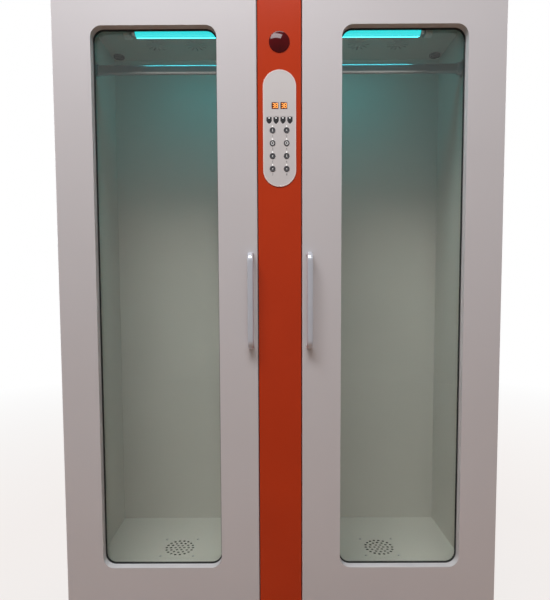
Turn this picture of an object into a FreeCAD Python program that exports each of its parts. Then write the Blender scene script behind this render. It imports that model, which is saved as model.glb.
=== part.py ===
import FreeCAD, Part
import math
import os
import re

import Sketcher
from FreeCAD import Vector

# A two-door drying and disinfecting cabinet for hospital clothing, in millimetres. X runs to the right,
# -Y faces the user, +Z is up. The origin is on the floor, under the middle of the overall box, which
# reaches from the handles to the rear panel.
#
# Two fans under the perforated floor draw air through the rear louvres, past a heater each, into the
# chamber. It leaves through four round vents in the ceiling and the upper louvres. A tubular lamp and
# two ozone ports under the ceiling disinfect what hangs from the rail.

# Flat sides that stand for a circle, so that what repeats or hides stays light.
HOLE_SIDES = 6
SMALL_SIDES = 8
ROUND_SIDES = 16
LENS_SIDES = 24
DUCT_SIDES = 32

KEY_ROWS = 4

SIZES = {
    # the whole cabinet
    "width": 1200,
    "height": 1900,
    "body_depth": 455,
    "foot_height": 45,
    "sheet": 1.2,
    "side_wall": 25,
    "base_height": 121,
    "head_height": 70,
    "chamber_depth": 427,
    "liner": 1,
    "rear_flange": 30,
    # levelling feet
    "foot_diameter": 50,
    "foot_pad": 12,
    "stem_diameter": 10,
    "stem_reach": 30,
    "foot_inset": 70,
    "stem_clearance": 0.5,
    "nut_across": 17,
    "nut_thick": 8,
    "foot_setback": 60,
    # doors
    "door_thick": 30,
    "door_gap": 8,
    "door_rise": 25,
    "door_drop": 10,
    "door_round": 2.5,
    "fascia_gap": 2,
    "window_rise": 171,
    "window_drop": 175,
    "window_outside": 102,
    "window_inside": 105.5,
    "window_corner": 30,
    "glass_thick": 4,
    "glass_cover": 12,
    "gasket_lip": 1.4,
    "gasket_edge": 3,
    "gasket_show": 3,
    "seal_width": 11,
    "seal_margin": 1,
    "seal_clearance": 0.3,
    # hinges
    "hinge_inset": 13,
    "hinge_plate": 3,
    "hinge_width": 58,
    "hinge_leg": 35,
    "pin_diameter": 8,
    "pin_clearance": 0.05,
    "bush_block": 22,
    "bush_depth": 18,
    "bush_flange": 2,
    "bush_neck": 12,
    "bush_lift": 0.2,
    "hinge_edge": 2,
    "pin_reach": 20,
    # handles
    "handle_reach": 38,
    "handle_pitch": 250,
    "handle_rise": 920,
    "handle_inset": 19,
    "handle_width": 16,
    "handle_thick": 11,
    "handle_bevel": 2.5,
    "handle_bend": 20,
    # centre post and fascia
    "post_width": 170,
    "post_depth": 40,
    "fascia_width": 116,
    "fascia_sheet": 1.5,
    "plate_width": 88,
    "plate_height": 305,
    "plate_drop": 443.5,
    "plate_thick": 2,
    "lens_drop": 220,
    "lens_diameter": 55,
    "lens_rim": 2,
    "lens_dome": 5,
    "lens_spigot": 24,
    "lens_reach": 6,
    # controls
    "key_diameter": 15,
    "key_collar": 1.5,
    "key_clearance": 0.2,
    "key_proud": 1.5,
    "key_travel": 0.8,
    "key_stem": 4,
    "key_edge": 0.8,
    "key_spare": 0.1,
    "switch_size": 6,
    "switch_height": 3.5,
    "key_spacing": 37.5,
    "key_row": 33.6,
    "key_drop": 157,
    "display_size": 18,
    "display_spacing": 23.4,
    "display_drop": 93,
    "lamp_icon_width": 14,
    "lamp_icon_height": 19,
    "lamp_icon_spacing": 18.4,
    "lamp_icon_drop": 131,
    "board_sheet": 1.6,
    "board_margin": 3,
    "stud_diameter": 5,
    "stud_inset": 17,
    "stud_apart": 46,
    "opening_width": 72,
    "opening_height": 240,
    # rail
    "rail_setback": 212,
    "rail_drop": 109,
    "rail_height": 30,
    "rail_thick": 15,
    "rail_wall": 1.5,
    "socket_wall": 4,
    "socket_depth": 16,
    "socket_clearance": 0.1,
    "socket_flange": 2.5,
    "socket_rim": 2,
    "socket_ear": 3.5,
    # ultraviolet lamp
    "tube_setback": 180,
    "tube_drop": 27,
    "tube_length": 895,
    "tube_diameter": 26,
    "tube_glass": 1,
    "cap_length": 14,
    "cap_wall": 0.6,
    "cap_end": 1.5,
    "cap_pin": 2.4,
    "cap_pin_spacing": 12.7,
    "cap_pin_reach": 7,
    "holder_thick": 20,
    "holder_width": 34,
    # floor vents, fans and heaters
    "fan_setback": 213,
    "fan_size": 120,
    "fan_thick": 38,
    "fan_bore": 112,
    "fan_screws": 105,
    "fan_screw": 4,
    "fan_corner": 8,
    "screw_clearance": 0.2,
    "screw_head": 2.4,
    "screw_length": 30,
    "arm_width": 8,
    "arm_thick": 4,
    "arm_lap": 1,
    "rotor_diameter": 109,
    "hub_diameter": 62,
    "hub_wall": 2,
    "hub_height": 28,
    "hub_lift": 2,
    "blade_sweep": 18,
    "blade_rise": 20,
    "blade_camber": 3,
    "blade_thick": 2,
    "blade_count": 7,
    "shaft_diameter": 4,
    "bearing_wall": 3,
    "bearing_length": 26,
    "shaft_end": 1,
    "bearing_clearance": 0.05,
    "hole_diameter": 9,
    "hole_ring": 14.5,
    "heater_thick": 26,
    "heater_wall": 5,
    "fin_pitch": 9,
    "fin_count": 12,
    "fin_thick": 1,
    # ceiling vents and ozone ports
    "vent_inset": 175,
    "vent_apart": 130,
    "vent_setback": 318,
    "vent_diameter": 72,
    "vent_core": 22,
    "vent_slot": 5,
    "vent_slots": 12,
    "port_inset": 27,
    "port_setback": 391,
    "port_diameter": 38,
    "port_depth": 6,
    "port_bore": 8,
    "port_stub": 14,
    "port_reach": 14,
    # units on top of the chamber
    "module_ear": 14,
    "cover_slot": 3,
    "ballast_width": 180,
    "ballast_depth": 42,
    "ballast_tall": 30,
    "ballast_setback": 108,
    "supply_width": 160,
    "supply_depth": 98,
    "supply_tall": 42,
    "supply_setback": 238,
    "ozone_width": 120,
    "ozone_depth": 80,
    "ozone_tall": 45,
    "ozone_setback": 372,
    # rear panel
    "louvre_width": 150,
    "louvre_height": 5,
    "louvre_pitch": 10,
    "louvre_rows_low": 6,
    "louvre_rows_high": 3,
    "inlet_rise": 67,
    "inlet_inset": 95,
    "inlet_width": 28,
    "inlet_tall": 20,
    "inlet_depth": 22,
    "inlet_flange": 3,
    "inlet_ear": 11,
    "inlet_wall": 2,
    "inlet_recess": 16,
    "inlet_pitch": 7,
}

# Places worked out from the sizes. Each may use those above it.
PLACES = {
    "rear": "(body_depth + door_gap + door_thick + handle_reach) / 2",
    "body_front": "rear - body_depth",
    "door_back": "body_front - door_gap",
    "door_front": "door_back - door_thick",
    "chamber_back": "body_front + chamber_depth",
    "rear_inside": "rear - sheet",
    "half_width": "width / 2",
    "inner_side": "half_width - side_wall",
    "chamber_side": "inner_side - liner",
    "chamber_floor": "foot_height + base_height",
    "chamber_ceiling": "height - head_height",
    "door_low": "foot_height + door_rise",
    "door_high": "height - door_drop",
    "half_fascia": "fascia_width / 2",
    "half_post": "post_width / 2",
    "door_inner": "half_fascia + fascia_gap",
    "window_out": "half_width - window_outside",
    "window_in": "door_inner + window_inside",
    "window_low": "door_low + window_rise",
    "window_high": "door_high - window_drop",
    "pan_plane": "door_back - sheet",
    "glass_back": "pan_plane - gasket_lip",
    "glass_front": "glass_back - glass_thick",
    "reveal_end": "glass_front - gasket_lip",
    "hinge_x": "half_width - hinge_inset",
    "hinge_y": "(door_front + door_back) / 2",
    "handle_x": "door_inner + handle_inset",
    "handle_middle": "foot_height + door_rise + handle_rise",
    "fascia_skin": "door_front + fascia_sheet",
    "plate_front": "door_front - plate_thick",
    "lens_z": "door_high - lens_drop",
    "plate_centre": "door_high - plate_drop",
    "plate_top": "plate_centre + plate_height / 2",
    "key_top": "plate_top - key_drop",
    "display_z": "plate_top - display_drop",
    "icon_z": "plate_top - lamp_icon_drop",
    "collar_back": "door_front + key_collar",
    "board_front": "collar_back + key_stem + key_travel + key_spare + switch_height",
    "rail_y": "body_front + rail_setback",
    "rail_z": "chamber_ceiling - rail_drop - rail_height / 2",
    "tube_y": "body_front + tube_setback",
    "tube_z": "chamber_ceiling - tube_drop",
    "fan_x": "(half_width + door_inner) / 2",
    "fan_y": "body_front + fan_setback",
    "floor_under": "chamber_floor - liner",
    "fan_low": "floor_under - fan_thick",
    "heater_low": "fan_low - heater_thick",
    "vent_far": "inner_side - vent_inset",
    "vent_near": "vent_far - vent_apart",
    "vent_y": "body_front + vent_setback",
    "port_x": "inner_side - port_inset",
    "port_y": "body_front + port_setback",
    "ceiling_over": "chamber_ceiling + liner",
    "inlet_x": "inner_side - inlet_inset",
    "inlet_z": "foot_height + inlet_rise",
}

document = FreeCAD.newDocument("DryingCabinet")


def write_sheet():
    """Put every driving size into the sheet under its own name, then the places that follow."""
    sheet = document.addObject("Spreadsheet::Sheet", "Sizes")
    for row, (name, value) in enumerate(SIZES.items(), start=1):
        sheet.set(f"A{row}", name)
        sheet.set(f"B{row}", str(value))
        sheet.setAlias(f"B{row}", name)
    document.recompute()
    places = document.addObject("App::VarSet", "Places")
    for name, text in PLACES.items():
        places.addProperty("App::PropertyFloat", name)
        places.setExpression(name, formula(text))
    document.recompute()
    return places


def formula(text):
    """Qualify the names of sizes and places in a formula, so that the document can follow them."""
    def qualified(match):
        word = match.group()
        if word in SIZES:
            return "Sizes." + word
        if word in PLACES:
            return "Places." + word
        return word
    return re.sub(r"[A-Za-z_]\w*", qualified, str(text))


def number(text):
    """The present value of a formula."""
    return float(places.evalExpression(formula(text)))


def bind(item, name, text):
    """Tie a property to a formula."""
    item.setExpression(name, formula(text))


def new_body(label):
    """An empty body with the label of its sub-part."""
    body = document.addObject("PartDesign::Body", "Body")
    body.Label = label
    return body


class Outline:
    """A sketch on one of its body's own planes, square to one axis, every size of it bound.

    On the planes square to X, Y and Z the sketch's own axes are Y and Z, X and Z, and X and Y.
    """

    ROLES = {"x": "YZ_Plane", "y": "XZ_Plane", "z": "XY_Plane"}

    def __init__(self, body, axis, at, centre=(0, 0)):
        self.body = body
        self.forward = axis != "y"
        plane = next(item for item in body.Origin.OriginFeatures if item.Role == self.ROLES[axis])
        self.sketch = body.newObject("Sketcher::SketchObject", "Outline")
        self.sketch.AttachmentSupport = (plane, [""])
        self.sketch.MapMode = "FlatFace"
        sign = 1 if self.forward else -1
        for direction, text in zip("xyz", (centre[0], centre[1], f"{sign} * ({at})")):
            bind(self.sketch, f".AttachmentOffset.Base.{direction}", text)

    def constrain(self, kind, *where, text):
        """Add one dimension and tie it to a formula."""
        index = self.sketch.addConstraint(Sketcher.Constraint(kind, *where, number(text)))
        bind(self.sketch, f"Constraints[{index}]", text)

    def place(self, geometry, point, x, y):
        """Fix a point of the sketch by its distances from the sketch's origin."""
        self.constrain("DistanceX", -1, 1, geometry, point, text=x)
        self.constrain("DistanceY", -1, 1, geometry, point, text=y)

    def closed_lines(self, points):
        """Straight lines through the points and back to the first, joined end to end."""
        first = self.sketch.GeometryCount
        following = points[1:] + points[:1]
        self.sketch.addGeometry([Part.LineSegment(start, end) for start, end in zip(points, following)])
        count = len(points)
        self.sketch.addConstraint([
            Sketcher.Constraint("Coincident", first + index, 2, first + (index + 1) % count, 1)
            for index in range(count)])
        return first

    def polygon(self, corners):
        """A closed outline of straight lines through the corners."""
        first = self.closed_lines([Vector(number(x), number(y), 0) for x, y in corners])
        for index, (x, y) in enumerate(corners):
            self.place(first + index, 1, x, y)
        return self

    def many_sided(self, count, across, x="0", y="0"):
        """A regular outline of equal flat sides, its corners on a construction circle."""
        centre = Vector(number(x), number(y), 0)
        reach = f"({across}) / 2 / cos({180 / count})"
        radius = number(reach)
        angles = [2 * math.pi * (step + 0.5) / count for step in range(count)]
        first = self.closed_lines([
            centre + Vector(radius * math.cos(angle), radius * math.sin(angle), 0) for angle in angles])
        circle = self.sketch.addGeometry(Part.Circle(centre, Vector(0, 0, 1), radius), True)
        rules = [Sketcher.Constraint("Equal", first, first + step) for step in range(1, count)]
        rules += [Sketcher.Constraint("PointOnObject", first + step, 1, circle) for step in range(count)]
        rules.append(Sketcher.Constraint("Vertical", first + count - 1))
        self.sketch.addConstraint(rules)
        self.constrain("Radius", circle, text=reach)
        self.place(circle, 3, x, y)
        return self

    def rectangle(self, left, right, low, high):
        """A rectangle between two places on each axis."""
        return self.polygon([(left, low), (right, low), (right, high), (left, high)])

    def clipped(self, left, right, low, high, corner):
        """A rectangle whose corners are cut off at 45 degrees."""
        return self.polygon([
            (f"{left} + {corner}", low), (f"{right} - {corner}", low),
            (right, f"{low} + {corner}"), (right, f"{high} - {corner}"),
            (f"{right} - {corner}", high), (f"{left} + {corner}", high),
            (left, f"{high} - {corner}"), (left, f"{low} + {corner}")])

    def rounded(self, left, right, low, high, radius):
        """A rectangle whose four corners are rounded alike."""
        first = self.sketch.GeometryCount
        x0, x1, y0, y1, r = (number(text) for text in (left, right, low, high, radius))
        centres = [(x1 - r, y0 + r), (x1 - r, y1 - r), (x0 + r, y1 - r), (x0 + r, y0 + r)]
        sides = [((x0 + r, y0), (x1 - r, y0)), ((x1, y0 + r), (x1, y1 - r)),
                 ((x1 - r, y1), (x0 + r, y1)), ((x0, y1 - r), (x0, y0 + r))]
        quarter = math.pi / 2
        for turn, (centre, (start, end)) in enumerate(zip(centres, sides)):
            self.sketch.addGeometry(Part.LineSegment(Vector(*start, 0), Vector(*end, 0)))
            circle = Part.Circle(Vector(*centre, 0), Vector(0, 0, 1), r)
            self.sketch.addGeometry(Part.ArcOfCircle(circle, (turn - 1) * quarter, turn * quarter))
        for step in range(8):
            following = first + (step + 1) % 8
            self.sketch.addConstraint(Sketcher.Constraint("Tangent", first + step, 2, following, 1))
        for step in (3, 5, 7):
            self.sketch.addConstraint(Sketcher.Constraint("Equal", first + 1, first + step))
        for step, kind in ((0, "Horizontal"), (2, "Vertical"), (4, "Horizontal"), (6, "Vertical")):
            self.sketch.addConstraint(Sketcher.Constraint(kind, first + step))
        self.constrain("Radius", first + 1, text=radius)
        self.constrain("DistanceX", -1, 1, first + 6, 1, text=left)
        self.constrain("DistanceX", -1, 1, first + 2, 1, text=right)
        self.constrain("DistanceY", -1, 1, first, 1, text=low)
        self.constrain("DistanceY", -1, 1, first + 4, 1, text=high)
        return self

    def stadium(self, width, height):
        """An upright slot shape about the sketch's origin: two straight sides and two half rounds."""
        first = self.sketch.GeometryCount
        reach = f"(({height}) - ({width})) / 2"
        r = number(f"({width}) / 2")
        y = number(reach)
        upper = Part.Circle(Vector(0, y, 0), Vector(0, 0, 1), r)
        lower = Part.Circle(Vector(0, -y, 0), Vector(0, 0, 1), r)
        self.sketch.addGeometry(Part.ArcOfCircle(upper, 0, math.pi))
        self.sketch.addGeometry(Part.LineSegment(Vector(-r, y, 0), Vector(-r, -y, 0)))
        self.sketch.addGeometry(Part.ArcOfCircle(lower, math.pi, 2 * math.pi))
        self.sketch.addGeometry(Part.LineSegment(Vector(r, -y, 0), Vector(r, y, 0)))
        for step in range(4):
            following = first + (step + 1) % 4
            self.sketch.addConstraint(Sketcher.Constraint("Tangent", first + step, 2, following, 1))
        self.sketch.addConstraint(Sketcher.Constraint("Vertical", first + 1))
        self.constrain("Radius", first, text=f"({width}) / 2")
        self.place(first, 3, "0", reach)
        self.constrain("DistanceY", -1, 1, first + 2, 3, text=f"-({reach})")
        return self

    def disc(self, radius, x="0", y="0"):
        """A full circle."""
        index = self.sketch.addGeometry(
            Part.Circle(Vector(number(x), number(y), 0), Vector(0, 0, 1), number(radius)))
        self.constrain("Radius", index, text=radius)
        self.place(index, 3, x, y)
        return self

    def feature(self, kind, name):
        """A feature of the same body that uses this outline."""
        feature = self.body.newObject(kind, name)
        feature.Profile = self.sketch
        return feature

    def pad(self, length):
        """Raise the outline into a solid towards the positive side of its axis."""
        feature = self.feature("PartDesign::Pad", "Pad")
        feature.Reversed = not self.forward
        bind(feature, "Length", length)
        return feature

    def cut(self, length):
        """Cut the outline away over a length towards the positive side of its axis."""
        feature = self.feature("PartDesign::Pocket", "Cut")
        feature.Reversed = self.forward
        bind(feature, "Length", length)
        return feature

    def repeat_round(self, feature, count):
        """Repeat a feature evenly round the sketch's origin."""
        pattern = self.body.newObject("PartDesign::PolarPattern", "Ring")
        pattern.Originals = [feature]
        pattern.Axis = (self.sketch, ["N_Axis"])
        pattern.Angle = 360
        bind(pattern, "Occurrences", count)
        self.body.Tip = pattern
        return pattern

    def repeat_along(self, feature, axis, length, count):
        """Repeat a feature in a straight row along one of the sketch's own axes."""
        pattern = self.body.newObject("PartDesign::LinearPattern", "Row")
        pattern.Originals = [feature]
        pattern.Direction = (self.sketch, [axis])
        bind(pattern, "Length", length)
        bind(pattern, "Occurrences", count)
        self.body.Tip = pattern
        return pattern


def picked_edges(body, chosen):
    """The edges of a body's present shape that a test on their middle and direction picks."""
    body.Tip.recompute(True)
    names = []
    for index, edge in enumerate(body.Tip.Shape.Edges, start=1):
        if len(edge.Vertexes) == 2:
            ends = [vertex.Point for vertex in edge.Vertexes]
            middle = (ends[0] + ends[1]) / 2
            if chosen(middle, ends[1] - ends[0]):
                names.append(f"Edge{index}")
    return body.Tip, names


def round_edges(body, radius, chosen):
    """Round the picked edges."""
    base = picked_edges(body, chosen)
    fillet = body.newObject("PartDesign::Fillet", "Rounding")
    fillet.Base = base
    bind(fillet, "Radius", radius)


def bevel_edges(body, size, chosen):
    """Bevel the picked edges at 45 degrees."""
    base = picked_edges(body, chosen)
    chamfer = body.newObject("PartDesign::Chamfer", "Bevel")
    chamfer.Base = base
    bind(chamfer, "Size", size)


def folded_sheet(body, axis, at, length, path, thickness, inside):
    """A sheet bent square along a path of corners, with its thickness on the side of a point."""
    points = [(number(x), number(y)) for x, y in path]
    target = (number(inside[0]), number(inside[1]))
    steps = []
    for (x0, y0), (x1, y1) in zip(points, points[1:]):
        if abs(x1 - x0) > abs(y1 - y0):
            steps.append((0, 1 if target[1] > y0 else -1))
        else:
            steps.append((1 if target[0] > x0 else -1, 0))
    inner = []
    for index, (x, y) in enumerate(path):
        near = [steps[index - 1]] if index else []
        near += [steps[index]] if index < len(steps) else []
        shift_x = next((dx for dx, dy in near if dx), 0)
        shift_y = next((dy for dx, dy in near if dy), 0)
        inner.append((f"{x} + ({shift_x}) * {thickness}", f"{y} + ({shift_y}) * {thickness}"))
    return Outline(body, axis, at).polygon(list(path) + inner[::-1]).pad(length)


def mirrored(source, label):
    """The same piece on the other side of the cabinet's middle plane."""
    copy = document.addObject("Part::Mirroring", "Mirrored")
    copy.Label = label
    copy.Source = source
    copy.Normal = Vector(1, 0, 0)
    return copy


def grouped(pieces, label):
    """Several like solids kept as one sub-part."""
    group = document.addObject("Part::Compound", "Group")
    group.Label = label
    group.Links = pieces
    return group


def both_sides(body, label):
    """A body and its mirror image as one sub-part."""
    body.Label = label + "_left"
    return grouped([body, mirrored(body, label + "_right")], label)


# ---------------------------------------------------------------- casing


def side_panel():
    """A shallow pan of folded sheet, open towards the chamber wall."""
    body = new_body("left_side_panel")
    Outline(body, "x", "-half_width").rectangle(
        "body_front", "rear", "foot_height", "height").pad("side_wall")
    inner = Outline(body, "x", "-half_width + sheet")
    inner.rectangle("body_front + sheet", "rear - sheet", "foot_height + sheet", "height - sheet")
    inner.cut("side_wall - sheet")
    return body


def base_tray():
    """The underside, folded up at the front to the chamber floor and at the rear to a low flange."""
    body = new_body("base_tray")
    path = [("body_front", "chamber_floor"), ("body_front", "foot_height"),
            ("rear_inside", "foot_height"), ("rear_inside", "foot_height + rear_flange")]
    folded_sheet(body, "x", "-inner_side", "2 * inner_side", path, "sheet", ("0", "chamber_floor"))
    holes = Outline(body, "z", "foot_height")
    for x in ("-(half_width - foot_inset)", "half_width - foot_inset"):
        for y in ("body_front + foot_setback", "rear - foot_setback"):
            holes.many_sided(SMALL_SIDES, "stem_diameter + 2 * stem_clearance", x, y)
    holes.cut("sheet")
    return body


def top_panel():
    """The roof, folded down at the front to the chamber ceiling and at the rear to a low flange."""
    body = new_body("top_panel")
    path = [("body_front", "chamber_ceiling"), ("body_front", "height"),
            ("rear_inside", "height"), ("rear_inside", "height - rear_flange")]
    folded_sheet(body, "x", "-inner_side", "2 * inner_side", path, "sheet", ("0", "chamber_ceiling"))
    return body


def rear_panel():
    """The flat back, with louvre slots low down for the fans and high up for the used air."""
    body = new_body("rear_panel")
    Outline(body, "y", "rear_inside").rectangle(
        "-inner_side", "inner_side", "foot_height", "height").pad("sheet")
    rows = [("foot_height + rear_flange + louvre_pitch", "louvre_rows_low"),
            ("chamber_ceiling + louvre_pitch", "louvre_rows_high")]
    for low, count in rows:
        for side in (-1, 1):
            slot = Outline(body, "y", "rear_inside", (f"{side} * fan_x", low))
            slot.rectangle("-louvre_width / 2", "louvre_width / 2", "0", "louvre_height")
            slot.repeat_along(slot.cut("sheet"), "V_Axis", f"louvre_pitch * ({count} - 1)", count)
    inlet = Outline(body, "y", "rear_inside", ("inlet_x", "inlet_z"))
    inlet.rectangle("-inlet_width / 2", "inlet_width / 2", "-inlet_tall / 2", "inlet_tall / 2")
    inlet.cut("sheet")
    return body


def levelling_feet():
    """Four screwed feet: a bevelled pad, a stem that passes into the tray and the lock nut under it."""
    feet = []
    top = number("foot_pad")
    for y in ("body_front + foot_setback", "rear - foot_setback"):
        body = new_body("levelling_foot")
        centre = ("-(half_width - foot_inset)", y)
        Outline(body, "z", "0", centre).many_sided(ROUND_SIDES, "foot_diameter").pad("foot_pad")
        bevel_edges(body, "foot_pad / 2", lambda middle, way: abs(middle.z - top) < 0.01)
        Outline(body, "z", "foot_pad", centre).many_sided(SMALL_SIDES, "stem_diameter").pad(
            "foot_height + stem_reach - foot_pad")
        Outline(body, "z", "foot_height - nut_thick", centre).many_sided(6, "nut_across").pad("nut_thick")
        feet += [body, mirrored(body, "levelling_foot_mirrored")]
    return grouped(feet, "levelling_feet")


# ---------------------------------------------------------------- chamber lining


def liner_back():
    """The chamber's back wall, its sides folded back to the rear panel."""
    body = new_body("liner_back")
    path = [("-inner_side", "rear_inside"), ("-inner_side", "chamber_back"),
            ("inner_side", "chamber_back"), ("inner_side", "rear_inside")]
    folded_sheet(body, "z", "floor_under", "ceiling_over - floor_under", path, "liner", ("0", "rear"))
    return body


def liner_side():
    """One side wall of the chamber."""
    body = new_body("liner_left")
    Outline(body, "x", "-inner_side").rectangle(
        "body_front", "chamber_back", "chamber_floor", "chamber_ceiling").pad("liner")
    return body


def liner_floor():
    """The chamber floor, drilled in rings over each fan, with the fan's four screw holes."""
    body = new_body("liner_floor")
    Outline(body, "z", "floor_under").rectangle(
        "-inner_side", "inner_side", "body_front + sheet", "chamber_back").pad("liner")
    for side in (-1, 1):
        centre = (f"{side} * fan_x", "fan_y")
        Outline(body, "z", "floor_under", centre).many_sided(HOLE_SIDES, "hole_diameter").cut("liner")
        for ring in (1, 2, 3):
            hole = Outline(body, "z", "floor_under", centre)
            hole.many_sided(HOLE_SIDES, "hole_diameter", f"{ring} * hole_ring")
            hole.repeat_round(hole.cut("liner"), f"{6 * ring}")
        screw = Outline(body, "z", "floor_under", centre)
        screw.many_sided(SMALL_SIDES, "fan_screw + 2 * screw_clearance", "fan_screws / 2", "fan_screws / 2")
        screw.repeat_round(screw.cut("liner"), "4")
    return body


def liner_ceiling():
    """The chamber ceiling with four round vents of radial slots and two holes for the ozone ports."""
    body = new_body("liner_ceiling")
    Outline(body, "z", "chamber_ceiling").rectangle(
        "-inner_side", "inner_side", "body_front + sheet", "chamber_back").pad("liner")
    length = "(vent_diameter - vent_core) / 2"
    for x in ("-vent_far", "-vent_near", "vent_near", "vent_far"):
        slot = Outline(body, "z", "chamber_ceiling", (x, "vent_y"))
        half_root = "vent_slot / 2 * vent_core / vent_diameter"
        slot.polygon([(f"-{half_root}", "vent_core / 2"), (half_root, "vent_core / 2"),
                      ("vent_slot / 2", f"vent_core / 2 + {length}"),
                      ("-vent_slot / 2", f"vent_core / 2 + {length}")])
        slot.repeat_round(slot.cut("liner"), "vent_slots")
    for x in ("-port_x", "port_x"):
        Outline(body, "z", "chamber_ceiling", (x, "port_y")).many_sided(ROUND_SIDES, "port_stub").cut("liner")
    return body


# ---------------------------------------------------------------- centre post, fascia and controls


def centre_post():
    """The box-section post between the doors, from the chamber floor to its ceiling."""
    body = new_body("centre_post")
    section = Outline(body, "z", "chamber_floor")
    section.rectangle("-half_post", "half_post", "body_front", "body_front + post_depth")
    section.rectangle("-half_post + sheet", "half_post - sheet",
                      "body_front + sheet", "body_front + post_depth - sheet")
    section.pad("chamber_ceiling - chamber_floor")
    return body


def key_places():
    """The keys, in two columns, from the top left one."""
    for row in range(KEY_ROWS):
        for side in (-1, 1):
            yield f"{side} * key_spacing / 2", f"key_top - {row} * key_row"


def icon_places():
    """The four indicator lamps in a row above the keys."""
    for step in (-1.5, -0.5, 0.5, 1.5):
        yield f"{step} * lamp_icon_spacing", "icon_z"


def display_places():
    """The two numeric displays side by side."""
    for side in (-0.5, 0.5):
        yield f"{side} * display_spacing", "display_z"


def shield(outline, x, z):
    """The outline of an indicator lamp: square shoulders that taper to a point below."""
    wide = "lamp_icon_width / 2"
    tall = "lamp_icon_height / 2"
    shoulders = [(-1, 0.9), (0, 1), (1, 0.9), (1, -0.2), (0.55, -0.7), (0, -1), (-0.55, -0.7), (-1, -0.2)]
    outline.polygon([(f"{x} + ({across}) * {wide}", f"{z} + ({up}) * {tall}") for across, up in shoulders])


def fascia_panel():
    """The raised centre fascia, flush with the doors, a deep pan open to the post."""
    body = new_body("fascia_panel")
    Outline(body, "y", "door_front").rectangle(
        "-half_fascia", "half_fascia", "door_low", "door_high").pad("body_front - door_front")
    front = number("door_front")
    round_edges(body, "door_round", lambda middle, way: abs(middle.y - front) < 0.01)
    Outline(body, "y", "fascia_skin").rectangle(
        "-half_fascia + fascia_sheet", "half_fascia - fascia_sheet",
        "door_low + fascia_sheet", "door_high - fascia_sheet").cut("body_front - fascia_skin")
    openings = Outline(body, "y", "door_front")
    openings.rectangle("-opening_width / 2", "opening_width / 2",
                       "plate_centre - opening_height / 2", "plate_centre + opening_height / 2")
    openings.many_sided(ROUND_SIDES, "lens_spigot", "0", "lens_z")
    openings.cut("fascia_sheet")
    studs = Outline(body, "y", "fascia_skin")
    for x in ("-stud_apart / 2", "stud_apart / 2"):
        for z in ("plate_top - plate_height + stud_inset", "plate_top - stud_inset"):
            studs.many_sided(6, "stud_diameter", x, z)
    studs.pad("board_front - fascia_skin")
    return body


def control_plate():
    """The pale plate with half-round ends that frames the controls."""
    body = new_body("control_plate")
    Outline(body, "y", "plate_front", ("0", "plate_centre")).stadium(
        "plate_width", "plate_height").pad("plate_thick")
    openings = Outline(body, "y", "plate_front")
    for x, z in display_places():
        openings.rectangle(f"{x} - display_size / 2", f"{x} + display_size / 2",
                           f"{z} - display_size / 2", f"{z} + display_size / 2")
    for x, z in icon_places():
        shield(openings, x, z)
    openings.cut("plate_thick")
    rise = f"{KEY_ROWS - 1} * key_row"
    for x in ("-key_spacing / 2", "key_spacing / 2"):
        hole = Outline(body, "y", "plate_front", (x, f"key_top - {rise}"))
        hole.many_sided(ROUND_SIDES, "key_diameter + 2 * key_clearance")
        hole.repeat_along(hole.cut("plate_thick"), "V_Axis", rise, KEY_ROWS)
    return body


def control_board():
    """The circuit board on the fascia's studs, with a switch behind each key."""
    body = new_body("control_board")
    Outline(body, "y", "board_front").clipped(
        "-plate_width / 2 + board_margin", "plate_width / 2 - board_margin",
        "plate_centre - plate_height / 2 + board_margin", "plate_centre + plate_height / 2 - board_margin",
        "stud_diameter").pad("board_sheet")
    switches = Outline(body, "y", "board_front - switch_height")
    for x, z in key_places():
        switches.rectangle(f"{x} - switch_size / 2", f"{x} + switch_size / 2",
                           f"{z} - switch_size / 2", f"{z} + switch_size / 2")
    switches.pad("switch_height")
    return body


def display_modules():
    """Two numeric displays that stand on the board and end flush with the plate."""
    modules = []
    for x, z in display_places():
        body = new_body("display_module")
        Outline(body, "y", "plate_front", (x, z)).rectangle(
            "-display_size / 2", "display_size / 2", "-display_size / 2", "display_size / 2").pad(
            "board_front - plate_front")
        modules.append(body)
    return grouped(modules, "display_modules")


def indicator_lamps():
    """Four shield-shaped lamps that stand on the board and end flush with the plate."""
    lamps = []
    for x, z in icon_places():
        body = new_body("indicator_lamp")
        outline = Outline(body, "y", "plate_front", (x, z))
        shield(outline, "0", "0")
        outline.pad("board_front - plate_front")
        lamps.append(body)
    return grouped(lamps, "indicator_lamps")


def status_lens():
    """A low domed lens above the controls, with a spigot through the fascia."""
    body = new_body("status_lens")
    front = number("door_front - lens_rim - lens_dome")
    centre = ("0", "lens_z")
    Outline(body, "y", "door_front - lens_rim - lens_dome", centre).many_sided(
        LENS_SIDES, "lens_diameter").pad("lens_rim + lens_dome")
    bevel_edges(body, "lens_dome", lambda middle, way: abs(middle.y - front) < 0.01)
    bevel_edges(body, "lens_dome / 2", lambda middle, way: abs(middle.y - front) < 0.01)
    Outline(body, "y", "door_front", centre).many_sided(ROUND_SIDES, "lens_spigot").pad("lens_reach")
    return body


def key(index, x, z):
    """A round key: its cap in the plate, a collar that the plate holds back, and a stem."""
    body = new_body(f"key_{index}")
    front = number("plate_front - key_proud")
    Outline(body, "y", "plate_front - key_proud", (x, z)).many_sided(ROUND_SIDES, "key_diameter").pad(
        "plate_thick + key_proud")
    bevel_edges(body, "key_edge", lambda middle, way: abs(middle.y - front) < 0.01)
    Outline(body, "y", "door_front", (x, z)).many_sided(
        SMALL_SIDES, "key_diameter + 2 * key_collar").pad("key_collar")
    Outline(body, "y", "collar_back", (x, z)).many_sided(4, "key_stem").pad("key_stem")
    return body


# ---------------------------------------------------------------- rail and lamp


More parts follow.
